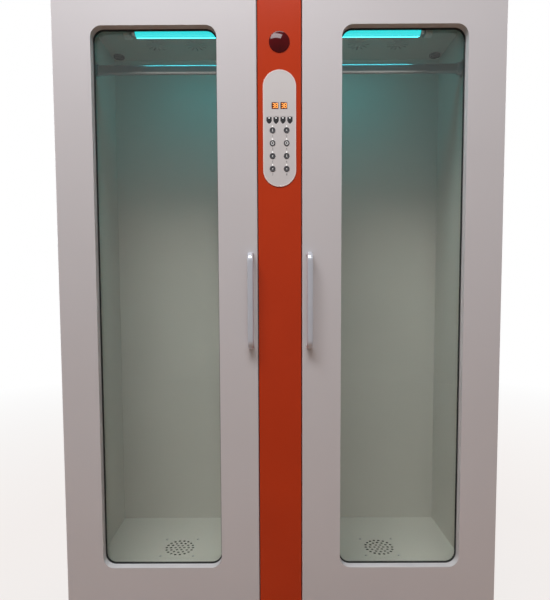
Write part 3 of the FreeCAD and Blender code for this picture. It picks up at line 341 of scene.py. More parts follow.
@dataclass(frozen=True)
class Zinc(Finish):
    """Bright zinc plate, with the faint crystals that plating leaves, which differ in gloss.

    Attributes:
        crystal_mm: Size of one crystal.
    """

    crystal_mm: float = 9.0

    def pattern(self, tree: Tree, shader: Node, place: Socket) -> None:
        """Add crystals that differ a little in gloss.

        Args:
            tree: The material's tree.
            shader: Its principled shader.
            place: The place on the object.
        """
        super().pattern(tree, shader, place)
        cells = add_node(tree, "ShaderNodeTexVoronoi", inputs={
            "Vector": place, "Scale": 1 / (self.crystal_mm * MM)})
        gloss = add_node(tree, "ShaderNodeMapRange", inputs={
            "Value": cells.outputs["Color"], "To Min": self.roughness - self.drift,
            "To Max": self.roughness + self.drift})
        tree.links.new(gloss.outputs["Result"], shader.inputs["Roughness"])


@dataclass(frozen=True)
class Pane(Finish):
    """Toughened float glass, tinted in the melt: clear, with its colour at the depth of one pane.

    Daylight that crosses the pane keeps its way, so that the chamber behind it is lit.
    """

    def pattern(self, tree: Tree, shader: Node, place: Socket) -> None:
        """Leave the surface flat and let the light through."""
        shader.inputs["Transmission Weight"].default_value = 1.0

    def surface(self, tree: Tree, shader: Node) -> Socket:
        """Mix in a straight way through for shadow rays.

        Args:
            tree: The material's tree.
            shader: Its principled shader.

        Returns:
            What the material's output takes.
        """
        path = add_node(tree, "ShaderNodeLightPath")
        straight = add_node(tree, "ShaderNodeBsdfTransparent", inputs={"Color": linear(self.shade)})
        mixed = add_node(tree, "ShaderNodeMixShader", inputs={
            0: path.outputs["Is Shadow Ray"], 1: shader.outputs["BSDF"], 2: straight.outputs["BSDF"]})
        return mixed.outputs["Shader"]


@dataclass(frozen=True)
class Glow(Finish):
    """A surface that gives light of its own, such as a lit tube or a display's segments.

    Attributes:
        light: The colour of its light, sRGB hex.
        strength: How bright it is; near 1 keeps its colour in the picture.
    """

    light: str = "#FFFFFF"
    strength: float = 1.0

    def pattern(self, tree: Tree, shader: Node, place: Socket) -> None:
        """Add the light to the finish.

        Args:
            tree: The material's tree.
            shader: Its principled shader.
            place: The place on the object.
        """
        super().pattern(tree, shader, place)
        shader.inputs["Emission Color"].default_value = linear(self.light)
        shader.inputs["Emission Strength"].default_value = self.strength


@dataclass(frozen=True)
class Backdrop(Finish):
    """The floor's matt paint, which looks white from the camera and still keeps the cabinet's shadow.

    Attributes:
        near: How much white is mixed in beside the cabinet.
        gloss: How much of the dim front of the studio a polished surface sees in it.
        reach: Distances between which the shadow fades out, in metres.
    """

    near: float = 0.8
    gloss: float = 0.5
    reach: Point = (1.2, 4.5)

    def surface(self, tree: Tree, shader: Node) -> Socket:
        """Mix in white for the rays that see the floor.

        Args:
            tree: The material's tree.
            shader: Its principled shader.

        Returns:
            What the material's output takes.
        """
        place = add_node(tree, "ShaderNodeTexCoord").outputs["Object"]
        away = add_node(tree, "ShaderNodeVectorMath", {"operation": "LENGTH"}, {0: place})
        surface = shader.outputs["BSDF"]
        looks = (("Is Glossy Ray", self.gloss, FRONT_LEVEL), ("Is Camera Ray", self.near, 1.0),
                 ("Is Transmission Ray", self.near, 1.0))
        for ray, start, level in looks:
            fade = add_node(tree, "ShaderNodeMapRange", inputs={
                "Value": away.outputs["Value"], "From Min": self.reach[0], "From Max": self.reach[1],
                "To Min": start, "To Max": 1.0})
            share = add_node(tree, "ShaderNodeMath", {"operation": "MULTIPLY"}, {
                0: seen_by(tree, ray), 1: fade.outputs["Result"]})
            white = add_node(tree, "ShaderNodeEmission", inputs={
                "Color": linear("#FFFFFF"), "Strength": level})
            surface = add_node(tree, "ShaderNodeMixShader", inputs={
                0: share.outputs["Value"], 1: surface, 2: white.outputs["Emission"]}).outputs["Shader"]
        return surface


# Textured powder coat on folded sheet: an orange peel of about 2 mm, drawn at 3 mm so that it shows, and
# a soft sheen that breaks up over each panel.
CASING = Finish("powder_coat_cool_white", "#CBC8C9", "#C4C0C0", 0.42, 0.05, grain_mm=3.0, relief_mm=0.03,
                patch_mm=350.0)
# Smooth powder coat inside the chamber, a touch greener and more matt than the casing.
LINING = Finish("powder_coat_pale_grey_green", "#C7C4BC", "#BDBAB2", 0.5, 0.06, grain_mm=2.5, relief_mm=0.02,
                patch_mm=300.0)
# Sprayed two-pack lacquer with a clear top layer: long, shallow waves under a wet gloss.
FASCIA = Finish("gloss_lacquer_orange_red", "#C03A0F", "#B2320C", 0.22, 0.04, specular=0.2, coat=0.2,
                coat_roughness=0.06, grain_mm=7.0, relief_mm=0.03, patch_mm=180.0)
# Screen-printed polycarbonate overlay: even pale grey with a fine satin grain.
OVERLAY = Finish("satin_polycarbonate_pale_grey", "#CDC9C7", "#C8C4C2", 0.38, 0.03, ior=1.58, grain_mm=0.8,
                 relief_mm=0.01, patch_mm=60.0)
# A paler copy of the same sheet on its border: a painted highlight where the cut border catches the light.
OVERLAY_PAINTED_HIGHLIGHT = Finish("clear_edge_of_overlay", "#E9DCD6", "#E2D4CE", 0.2, 0.03, ior=1.58, patch_mm=30.0)
# Moulded acrylic, dyed deep red and polished: nearly black until a lamp behind it lights up.
LENS = Finish("polished_acrylic_deep_red", "#5A060B", "#3C0306", 0.08, 0.02, ior=1.49, specular=0.25,
              relief_mm=0.0, patch_mm=20.0)
# The face of a display: smoked acrylic, red-brown where no segment is lit.
DISPLAY_WINDOW = Finish("smoked_acrylic_brown", "#5A1808", "#4A1206", 0.16, 0.03, ior=1.49, relief_mm=0.0)
# Lit segments and the light dots over the keys: diodes behind a diffusing face.
DISPLAY_SEGMENT = Glow("led_segment_amber", "#FFB060", "#FFA24E", 0.4, relief_mm=0.0, light="#FF9E48",
                       strength=1.5)
# The same white glow also paints a highlight dot on each unlit indicator lamp.
LED_AND_PAINTED_HIGHLIGHT = Glow("led_dot_white", "#F4F4F0", "#F0F0EC", 0.25, relief_mm=0.0, light="#FFFFFF", strength=0.45)
# Gloss moulded ABS of the indicator lamps, dark because they are unlit.
LAMP_ICON = Finish("gloss_abs_charcoal", "#3A3A3C", "#323234", 0.2, 0.04, grain_mm=1.5, relief_mm=0.008,
                   patch_mm=8.0)
# Satin moulded ABS with a fine spark texture of about 0.3 mm, drawn at 0.6 mm.
KEY = Finish("satin_abs_dark_grey", "#454548", "#3D3D40", 0.42, 0.05, grain_mm=0.6, relief_mm=0.012,
             patch_mm=10.0)
# Inks: flat, matt and too thin for a relief.
PRINT_WHITE = Finish("pad_print_white", "#E8E8E6", "#DEDEDC", 0.5, 0.05, relief_mm=0.0, patch_mm=4.0)
PRINT_GREY = Finish("screen_print_grey", "#5C605E", "#545856", 0.55, 0.05, relief_mm=0.0, patch_mm=4.0)
# The board's lacquer, glossy over its tracks.
BOARD = Finish("solder_mask_green", "#1F5A38", "#1A4E31", 0.3, 0.08, ior=1.55, grain_mm=1.2, relief_mm=0.01,
               patch_mm=15.0)
# Drawn stainless tube, polished along its length: fine lines about 0.4 mm apart, long in X.
RAIL = Finish("polished_stainless_steel", "#B4B1B4", "#A9A6AA", 0.3, 0.05, metallic=1.0, grain_mm=0.5,
              relief_mm=0.004, patch_mm=40.0, stretch=(0.03, 1.0, 1.0))
# Lit quartz glass of the lamp tube: a blue-green glow that hides the glass's own colour.
TUBE = Glow("lit_quartz_glass", "#6FB4BC", "#66AAB2", 0.15, relief_mm=0.0, light="#25E6EE", strength=1.15)
# Spun aluminium: fine rings round the cap, so the grain is short along X.
CAP = Finish("spun_aluminium", "#C2C2C4", "#B6B6B9", 0.3, 0.06, metallic=1.0, grain_mm=0.6, relief_mm=0.006,
             patch_mm=20.0, stretch=(1.0, 0.2, 0.2))
# White polycarbonate of the lamp's holders, satin from the mould.
HOLDER = Finish("moulded_polycarbonate_white", "#DEDED9", "#D6D6D0", 0.4, 0.05, grain_mm=1.0,
                relief_mm=0.01, patch_mm=25.0)
# Glass-filled nylon: near black, with the fibres dulling it in flecks.
FAN = Finish("glass_filled_nylon_black", "#1C1C1D", "#262627", 0.5, 0.08, grain_mm=0.9, relief_mm=0.02,
             patch_mm=6.0)
# Bright zinc plate on pressed steel and screws, its crystals drawn at 9 mm.
ZINC = Zinc("bright_zinc_plate", "#BFC0C3", "#B2B3B8", 0.34, 0.09, metallic=1.0, grain_mm=1.5,
            relief_mm=0.008, patch_mm=30.0)
# Moulded ABS and thermoset: dark, satin, with a fine mould texture.
PORT = Finish("moulded_abs_port_grey", "#2E3030", "#282A2A", 0.45, 0.06, grain_mm=0.8, relief_mm=0.015,
              patch_mm=12.0)
INLET = Finish("moulded_thermoset_black", "#161616", "#1D1D1D", 0.38, 0.06, grain_mm=0.8, relief_mm=0.012,
               patch_mm=12.0)
# Moulded rubber: matt and dusty.
FOOT = Finish("moulded_rubber_black", "#1B1B1A", "#2A2927", 0.72, 0.08, grain_mm=1.5, relief_mm=0.05,
              patch_mm=18.0)
# Toughened float glass, grey-green in the melt.
GLASS = Pane("tinted_float_glass", "#E6E9E4", "#FAFBF8", 0.0, ior=1.5)
# Extruded rubber round the panes, and softer vinyl round the doors.
GASKET = Finish("extruded_epdm_black", "#1D1F1E", "#262827", 0.55, 0.08, grain_mm=1.0, relief_mm=0.02,
                patch_mm=60.0)
SEAL = Finish("extruded_vinyl_grey", "#8D8D8C", "#858584", 0.5, 0.06, grain_mm=1.2, relief_mm=0.02,
              patch_mm=80.0)
# Die-cast and silver-lacquered bow: pale, satin, with a faint flow along the bar.
HANDLE = Finish("silver_lacquered_casting", "#D0D3DA", "#C6C9D1", 0.3, 0.05, metallic=0.35, coat=0.3,
                coat_roughness=0.12, grain_mm=1.5, relief_mm=0.01, patch_mm=35.0, stretch=(1.0, 1.0, 0.25))
# Natural nylon of the hinge bushes: ivory and waxy.
BUSH = Finish("moulded_nylon_natural", "#DBD8CD", "#D2CFC3", 0.42, 0.06, grain_mm=0.9, relief_mm=0.015,
              patch_mm=12.0)
# The studio's floor: warm by the light that it throws on the cabinet, white where it is looked at.
STUDIO_FLOOR = Backdrop("studio_floor", "#A27E66", "#9C7962", 0.8, 0.03, specular=0.1, grain_mm=6.0,
                        relief_mm=0.02, patch_mm=900.0)

# The finish of each of the record's material slots, for the pieces that keep their solids.
SLOT_FINISH = {
    "casing_paint": CASING, "liner_paint": LINING, "fascia_lacquer": FASCIA, "plate_acrylic": OVERLAY,
    "lens_red": LENS, "display_amber": DISPLAY_WINDOW, "lamp_icon_grey": LAMP_ICON, "key_grey": KEY,
    "board_green": BOARD, "rail_steel": RAIL, "lamp_glass": TUBE, "cap_aluminium": CAP,
    "holder_white": HOLDER, "fan_black": FAN, "zinc_steel": ZINC, "port_grey": PORT, "inlet_black": INLET,
    "foot_rubber": FOOT, "tinted_glass": GLASS, "gasket_rubber": GASKET, "seal_vinyl": SEAL,
    "handle_silver": HANDLE, "bush_nylon": BUSH,
}


# ---------------------------------------------------------------- meshes


class Axis(Enum):
    """Which way the height of a turned or flat piece points, as a turn from +Z."""

    UP = Matrix.Identity(4)
    DOWN = Matrix.Rotation(math.pi, 4, "X")
    FORWARD = Matrix.Rotation(math.pi / 2, 4, "X")
    BACK = Matrix.Rotation(-math.pi / 2, 4, "X")
    RIGHT = Matrix.Rotation(math.pi / 2, 4, "Y")
    LEFT = Matrix.Rotation(-math.pi / 2, 4, "Y")


def at(place: Sequence[float], axis: Axis = Axis.UP) -> Matrix:
    """The matrix that turns a piece and then carries it to its place."""
    return Matrix.Translation(Vector(place)) @ axis.value


def middle(node: str) -> Vector:
    """The middle of a solid's box."""
    low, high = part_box(node)
    return (low + high) / 2


def circle(radius: float, count: int, centre: Point = (0.0, 0.0)) -> Loop:
    """The points of a circle."""
    turns = (2 * math.pi * step / count for step in range(count))
    return [(centre[0] + radius * math.cos(turn), centre[1] + radius * math.sin(turn)) for turn in turns]


def rounded_box(width: float, height: float, radius: float, steps: int = 6,
                centre: Point = (0.0, 0.0)) -> Loop:
    """The points of a rectangle with round corners, or of a stadium where the radius is half the width.

    Args:
        width: Its size along the first axis.
        height: Its size along the second axis.
        radius: The radius of the corners.
        steps: Points along each corner, less one.
        centre: Its middle.

    Returns:
        The points, anticlockwise.
    """
    loop = []
    for quarter, (side, rise) in enumerate(((1, 1), (-1, 1), (-1, -1), (1, -1))):
        for step in range(steps + 1):
            turn = math.pi / 2 * (quarter + step / steps)
            loop.append((centre[0] + side * (width / 2 - radius) + radius * math.cos(turn),
                         centre[1] + rise * (height / 2 - radius) + radius * math.sin(turn)))
    return loop


def tidy(mesh: Mesh, place: Optional[Matrix] = None, edge: float = 0.0,
         angle: float = SMOOTH_ANGLE) -> Mesh:
    """Weld a mesh, turn its faces outwards, soften its edges and put it in place.

    Args:
        mesh: The mesh, which is changed.
        place: Where it goes.
        edge: The radius that its sharp edges get.
        angle: The bend above which an edge stays sharp to the eye.

    Returns:
        The same mesh.
    """
    shape = bmesh.new()
    shape.from_mesh(mesh)
    bmesh.ops.remove_doubles(shape, verts=shape.verts, dist=WELD)
    bmesh.ops.dissolve_degenerate(shape, edges=shape.edges, dist=WELD)
    bmesh.ops.recalc_face_normals(shape, faces=shape.faces)
    if edge:
        sharp = [item for item in shape.edges if len(item.link_faces) == 2
                 and item.calc_face_angle() > angle]
        bmesh.ops.bevel(shape, geom=sharp, offset=edge, segments=2, profile=0.5, affect="EDGES",
                        clamp_overlap=True)
    if place is not None:
        shape.transform(place)
    shape.to_mesh(mesh)
    shape.free()
    mesh.shade_smooth()
    mesh.set_sharp_from_angle(angle=angle)
    return mesh


def skin(rings: Sequence[Sequence[Vector]], looped: bool = False) -> Mesh:
    """Join rings of equal count into one closed shape.

    Args:
        rings: The rings, each a closed row of points.
        looped: Whether the last ring joins the first; otherwise both ends are capped.

    Returns:
        The mesh, not yet welded.
    """
    count = len(rings[0])
    points = [point for ring in rings for point in ring]
    faces = []
    for row in range(len(rings) if looped else len(rings) - 1):
        following = (row + 1) % len(rings)
        for step in range(count):
            aside = (step + 1) % count
            faces.append((row * count + step, row * count + aside,
                          following * count + aside, following * count + step))
    if not looped:
        faces += [tuple(range(count))[::-1], tuple((len(rings) - 1) * count + step for step in range(count))]
    mesh = bpy.data.meshes.new("skin")
    mesh.from_pydata(points, [], faces)
    return mesh


def turned(profile: Sequence[Point], place: Matrix, sides: int = 32, looped: bool = False,
           edge: float = 0.0) -> Mesh:
    """Turn a profile of radius and height into a round piece.

    Args:
        profile: Radius and height of each corner, from one end to the other.
        place: Where it goes; its height runs along the local Z axis.
        sides: How many sides stand for the circle.
        looped: Whether the profile is closed, as for a ring.
        edge: The radius of its sharp edges.

    Returns:
        The mesh, in place.
    """
    rings = [[Vector((x, y, height)) for x, y in circle(radius, sides)] for radius, height in profile]
    return tidy(skin(rings, looped), place, edge)


def raised(loop: Loop, thickness: float, place: Matrix, edge: float = 0.0) -> Mesh:
    """Raise one outline into a solid along its local Z axis."""
    rings = [[Vector((x, y, height)) for x, y in loop] for height in (0.0, thickness)]
    return tidy(skin(rings), place, edge)


def meshed(curve: bpy.types.Curve) -> Mesh:
    """Turn a curve or a text into a plain mesh.

    Args:
        curve: The curve or text.

    Returns:
        Its mesh.
    """
    carrier = bpy.data.objects.new(curve.name, curve)
    mesh = bpy.data.meshes.new_from_object(carrier)
    bpy.data.objects.remove(carrier)
    return mesh


def cut_sheet(loops: Sequence[Loop], thickness: float, place: Matrix, edge: float) -> Mesh:
    """Make a flat sheet with openings and softly rounded edges.

    Args:
        loops: The outline and the openings.
        thickness: The sheet's thickness, from local Z = 0 up.
        place: Where it goes.
        edge: The radius of all its edges.

    Returns:
        The mesh, in place.
    """
    curve = bpy.data.curves.new("sheet", "CURVE")
    curve.dimensions = "2D"
    curve.fill_mode = "BOTH"
    curve.extrude = thickness / 2 - edge
    curve.bevel_depth = edge
    curve.bevel_resolution = 1
    curve.offset = -edge
    for loop in loops:
        spline = curve.splines.new("POLY")
        spline.points.add(len(loop) - 1)
        for point, (x, y) in zip(spline.points, loop):
            point.co = (x, y, 0.0, 1.0)
        spline.use_cyclic_u = True
    return tidy(meshed(curve), place @ Matrix.Translation((0.0, 0.0, thickness / 2)), angle=FLAT_ANGLE)


def joined(meshes: Sequence[Mesh]) -> Mesh:
    """Put several meshes into one, each keeping its own material.

    Args:
        meshes: The meshes, each of one material at most.

    Returns:
        The whole, in a new mesh.
    """
    shape = bmesh.new()
    whole = bpy.data.meshes.new("joined")
    names = []
    for mesh in meshes:
        first = len(shape.faces)
        shape.from_mesh(mesh)
        shape.faces.ensure_lookup_table()
        own = next((material for material in mesh.materials if material), None)
        if own is None:
            continue
        if own.name not in names:
            names.append(own.name)
            whole.materials.append(own)
        for face in shape.faces[first:]:
            face.material_index = names.index(own.name)
    shape.to_mesh(whole)
    shape.free()
    whole.set_sharp_from_angle(angle=SMOOTH_ANGLE)
    return whole


def carved(mesh: Mesh, cutter: Mesh) -> Mesh:
    """Cut one closed mesh out of another.

    Args:
        mesh: The mesh that is cut.
        cutter: The shape that is taken out; it may be several closed shapes.

    Returns:
        The mesh that is left.
    """
    objects = [linked("carved", item) for item in (mesh, cutter)]
    cut = objects[0].modifiers.new("cut", "BOOLEAN")
    cut.object = objects[1]
    cut.use_self = True
    evaluated = objects[0].evaluated_get(bpy.context.evaluated_depsgraph_get())
    result = bpy.data.meshes.new_from_object(evaluated)
    for item in objects:
        bpy.data.objects.remove(item)
    return result


def dressed(mesh: Mesh, finish: Finish) -> Mesh:
    """Give a mesh its finish.

    Args:
        mesh: The mesh, which is changed.
        finish: The finish of all its faces.

    Returns:
        The same mesh.
    """
    mesh.polygons.foreach_set("material_index", [0] * len(mesh.polygons))
    mesh.materials.clear()
    mesh.materials.append(finish.material())
    return mesh


def piece(name: str, meshes: Sequence[Mesh], body: str, replaces: Sequence[str] = (),
          finish: Optional[Finish] = None) -> bpy.types.Object:
    """Make an object of meshes that moves with a body.

    Args:
        name: The piece's name.
        meshes: Its meshes, in place.
        body: The body that it rides on.
        replaces: The solids that it stands for.
        finish: The finish of all its meshes; without it they are dressed already.

    Returns:
        The new object.
    """
    if finish:
        meshes = [dressed(mesh, finish) for mesh in meshes]
    mesh = joined(meshes) if len(meshes) > 1 else meshes[0]
    mesh.name = name
    made = linked(name, mesh)
    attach(made, body)
    if replaces:
        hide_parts(*replaces)
    log.info("%s: %d faces, rides on %s", name, len(mesh.polygons), body)
    return made


# ---------------------------------------------------------------- screws


class Head(Enum):
    """The form of a screw's head: its profile as shares of the head's radius and height."""

    PAN = ((1.0, 0.0), (1.0, 0.3), (0.86, 0.72), (0.55, 0.95), (0.0, 1.0))
    SUNK = ((0.5, 0.0), (0.97, 0.92), (0.97, 1.0), (0.0, 1.0))


@dataclass
class ScrewSet:
    """Cross-recess screws of one size, all facing one way.

    Attributes:
        form: The form of the head.
        head: Diameter of the head.
        rise: Height of the head.
        shank: Diameter of the shank.
        reach: Length of the shank behind the head.
        recess: Width of the cross.
        arm: Length of the cross as a share of the head's diameter.
        floor: Height of the cross's floor as a share of the head's.
        sides: Sides of the head.
    """

    form: Head = Head.PAN
    head: float = 8 * MM
    rise: float = 2.4 * MM
    shank: float = 4 * MM
    reach: float = 10 * MM
    recess: float = 1.1 * MM
    arm: float = 0.55
    floor: float = 0.45
    sides: int = 20

    def pattern(self) -> Mesh:
        """Build one screw at the origin, its head upwards, with the cross cut into it.

        Returns:
            The screw.
        """
        head = [(self.head / 2 * across, self.rise * up) for across, up in self.form.value]
        body = turned([(0.0, -self.reach), (self.shank / 2, -self.reach), (self.shank / 2, 0.0), *head],
                      Matrix.Identity(4), self.sides)
        arm = self.head * self.arm
        cutter = joined([raised(rounded_box(length, width, self.recess * 0.2, 1), self.rise,
                                at((0, 0, self.rise * self.floor)))
                         for length, width in ((arm, self.recess), (self.recess, arm))])
        return carved(body, cutter)

    def set_in(self, places: Sequence[Vector], axis: Axis, finish: Finish) -> Mesh:
        """Instance the screw on every place.

        Args:
            places: Where the heads sit.
            axis: The way that the heads face.
            finish: The screws' finish.

        Returns:
            The mesh of all of them.
        """
        template = linked("screw_pattern", self.pattern())
        seats = bpy.data.meshes.new("seats")
        seats.from_pydata(list(places), [], [])
        tree, sockets = geometry_tree("ScrewsOnSeats", ["Size"])
        shape = add_node(tree, "GeometryNodeObjectInfo", inputs={"Object": template})
        close_tree(tree, copies(tree, sockets["Geometry"], shape.outputs["Geometry"],
                                Rotation=tuple(axis.value.to_euler()), Scale=sockets["Size"]), finish)
        mesh = grow(tree, {"Size": 1.0}, seats)
        bpy.data.objects.remove(template)
        mesh.set_sharp_from_angle(angle=SMOOTH_ANGLE)
        return mesh


# ---------------------------------------------------------------- chamber


def solid_sheet(tree: Tree, curves: Socket, thickness: Socket, finish: Finish) -> None:
    """Fill flat curves, with their openings, into a sheet, and end the tree.

    Args:
        tree: The tree.
        curves: The outline and the openings.
        thickness: The sheet's thickness, from local Z = 0 up.
        finish: The sheet's finish.
    """
    real = add_node(tree, "GeometryNodeRealizeInstances", inputs={"Geometry": curves})
    face = add_node(tree, "GeometryNodeFillCurve", {"mode": "TRIANGLES"}, {
        "Curve": real.outputs["Geometry"]})
    upper = add_node(tree, "GeometryNodeExtrudeMesh", {"mode": "FACES"}, {
        "Mesh": face.outputs["Mesh"], "Offset": (0.0, 0.0, 1.0), "Offset Scale": thickness,
        "Individual": False})
    lower = add_node(tree, "GeometryNodeFlipFaces", inputs={"Mesh": face.outputs["Mesh"]})
    close_tree(tree, together(tree, [upper.outputs["Mesh"], lower.outputs["Mesh"]]), finish)


def pierced_sheet(name: str, node: str, tree: Tree, sockets: dict,
                  openings: Sequence[tuple[float, float, Socket]], values: dict) -> None:
    """Build a flat sheet of the lining, with its openings, in the place of its solid.

    Args:
        name: The new piece's name.
        node: The solid that it stands for, whose size it takes.
        tree: The tree that makes the openings.
        sockets: The tree's inputs.
        openings: The place of each group of openings in X and Y, and the group.
        values: The openings' own sizes, by the name of the tree's input.
    """
    low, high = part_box(node)
    centre, size = (low + high) / 2, high - low
    curves = [add_node(tree, "GeometryNodeCurvePrimitiveQuadrilateral", {"mode": "RECTANGLE"}, {
        "Width": sockets["Width"], "Height": sockets["Depth"]}).outputs["Curve"]]
    curves += [shifted(tree, group, x - centre.x, y - centre.y) for x, y, group in openings]
    solid_sheet(tree, together(tree, curves), sockets["Thickness"], LINING)
    mesh = grow(tree, {"Width": size.x, "Depth": size.y, "Thickness": size.z, **values})
    piece(name, [tidy(mesh, at((centre.x, centre.y, low.z)))], "cabinet", [node])


@dataclass
class DrilledFloor:
    """The chamber floor, drilled in rings over each fan, with the screws that hold the fans.

    Attributes:
        hole: Diameter of one hole.
        pitch: Distance from one ring to the next.
        rings: Rings of holes round the centre hole.
        first: Holes in the innermost ring, and how many more each further ring has.
        sides: Sides of a hole.
        screw_pitch: Distance from one of a fan's screws to the next.
        screw_hole: Diameter of a screw's hole.
        screw_reach: Length of a screw.
    """

    hole: float = 9 * MM
    pitch: float = 14.5 * MM
    rings: int = 3
    first: int = 6
    sides: int = 16
    screw_pitch: float = 105 * MM
    screw_hole: float = 4.4 * MM
    screw_reach: float = 30 * MM

    def build(self) -> None:
        """Build the sheet and the screws."""
        fans = [middle("fan_housing_left"), middle("fan_housing_right")]
        tree, sockets = geometry_tree("DrilledFloor", [*SHEET_SIZES, "Hole", "Pitch", "Screw Hole",
                                                       "Screw Reach", "Count Sides"])
        hole = hoop(tree, sockets["Count Sides"], sockets["Hole"])
        drilled = [hole]
        for ring in range(1, self.rings + 1):
            reach = add_node(tree, "ShaderNodeMath", {"operation": "MULTIPLY"}, {
                0: sockets["Pitch"], 1: float(ring)})
            drilled.append(copies(tree, spots(tree, self.first * ring, reach.outputs["Value"]), hole))
        bolt = hoop(tree, sockets["Count Sides"], sockets["Screw Hole"])
        bolts = copies(tree, spots(tree, 4, sockets["Screw Reach"]), bolt)
        drilled.append(shifted(tree, bolts, 0.0, 0.0, turn=math.pi / 4))
        group = together(tree, drilled)
        openings = [(fan.x, fan.y, group) for fan in fans]
        pierced_sheet("chamber_floor", "liner_floor", tree, sockets, openings, {
            "Hole": self.hole / 2, "Pitch": self.pitch, "Screw Hole": self.screw_hole / 2,
            "Screw Reach": self.screw_pitch / math.sqrt(2), "Count Sides": self.sides})
        half, top = self.screw_pitch / 2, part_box("liner_floor")[1].z
        seats = [Vector((fan.x + side * half, fan.y + row * half, top))
                 for fan in fans for side in (-1, 1) for row in (-1, 1)]
        screws = ScrewSet(reach=self.screw_reach).set_in(seats, Axis.UP, ZINC)
        piece("fan_screws", [screws], "cabinet", ["vent_screws"])


@dataclass
class SlottedCeiling:
    """The chamber ceiling with round vents of radial slots and the holes of the ozone ports.

    Attributes:
        vent: Diameter over the slots.
        core: Diameter inside the slots.
        slot: Width of a slot at its outer end.
        root: How much wider a slot's inner end is than a taper to the vent's middle would leave it.
        corner: Radius of a slot's corners.
        slots: Slots in one vent.
        vents: Distance of the vents' centres from the middle plane.
        vent_y: Where the vents stand from front to back.
        port: Diameter of the hole of an ozone port.
        port_sides: Sides of that hole.
    """

    vent: float = 72 * MM
    core: float = 22 * MM
    slot: float = 5 * MM
    root: float = 1.4
    corner: float = 0.9 * MM
    slots: int = 12
    vents: tuple[float, float] = (270 * MM, 400 * MM)
    vent_y: float = 128.5 * MM
    port: float = 14 * MM
    port_sides: int = 24

    def build(self) -> None:
        """Build the sheet."""
        low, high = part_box("ozone_nozzles")
        port_x, port_y = high.x - (high.y - low.y) / 2, (low.y + high.y) / 2
        tree, sockets = geometry_tree("SlottedCeiling", [*SHEET_SIZES, "Slot", "Slot Root", "Slot Length",
                                                         "Slot Reach", "Port", "Count Slots"])
        slot = add_node(tree, "GeometryNodeCurvePrimitiveQuadrilateral", {"mode": "TRAPEZOID"}, {
            "Height": sockets["Slot Length"], "Bottom Width": sockets["Slot Root"],
            "Top Width": sockets["Slot"], "Offset": 0.0})
        rounded = add_node(tree, "GeometryNodeFilletCurve", {"mode": "POLY"}, {
            "Curve": slot.outputs["Curve"], "Count": 3, "Radius": self.corner})
        places = spots(tree, sockets["Count Slots"], sockets["Slot Reach"])
        vent = copies(tree, places, rounded.outputs["Curve"], Rotation=outward(tree, "Y"))
        port = hoop(tree, self.port_sides, sockets["Port"])
        openings = [(side * x, self.vent_y, vent) for x in self.vents for side in (-1, 1)]
        openings += [(side * port_x, port_y, port) for side in (-1, 1)]
        pierced_sheet("chamber_ceiling", "liner_ceiling", tree, sockets, openings, {
            "Slot": self.slot, "Slot Root": self.slot * self.core / self.vent * self.root,
            "Slot Length": (self.vent - self.core) / 2, "Slot Reach": (self.vent + self.core) / 4,
            "Port": self.port / 2, "Count Slots": self.slots})


@dataclass
class OzonePorts:
    """The two round ports under the ceiling, each a dished grille on a threaded stub.

    Attributes:
        stub: Diameter of the stub.
        bore: Diameter of the outlet.
        bars: Bars across the dish.
        bar: Width of a bar.
        bar_gap: What a bar's length leaves free in the dish.
        dish: Depth of the dish.
        lip: Radius of the dish as a share of the port's.
        sides: Sides of the port.
    """

    stub: float = 14 * MM
    bore: float = 8 * MM
    bars: int = 5
    bar: float = 1.6 * MM
    bar_gap: float = 0.2 * MM
    dish: float = 3.5 * MM
    lip: float = 0.86
    sides: int = 40

    def build(self) -> None:
        """Build both ports."""
        low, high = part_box("ozone_nozzles")
        radius = (high.y - low.y) / 2
        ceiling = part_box("liner_ceiling")[0].z
        lip, wall, stub, bore = radius * self.lip, ceiling - low.z, self.stub / 2, self.bore / 2
        profile = [(bore, self.dish), (lip, self.dish), (lip, 0.0), (radius * 0.95, 0.0),
                   (radius, wall * 0.3), (radius, wall), (stub, wall), (stub, high.z - low.z),
                   (bore, high.z - low.z)]
        meshes = []
        for x in (low.x + radius, high.x - radius):
            centre = Vector((x, (low.y + high.y) / 2, low.z))
            meshes.append(turned(profile, at(centre), self.sides, looped=True))
            for step in range(self.bars):
                across = (step - (self.bars - 1) / 2) * 2 * lip / (self.bars + 1)
                length = 2 * math.sqrt(lip * lip - across * across) - self.bar_gap
                bar = rounded_box(self.bar, length, self.bar * 0.3, 2)
                meshes.append(raised(bar, self.bar, at(centre + Vector((across, 0.0, self.bar * 0.4)))))
        piece("ozone_ports", meshes, "cabinet", ["ozone_nozzles"], PORT)


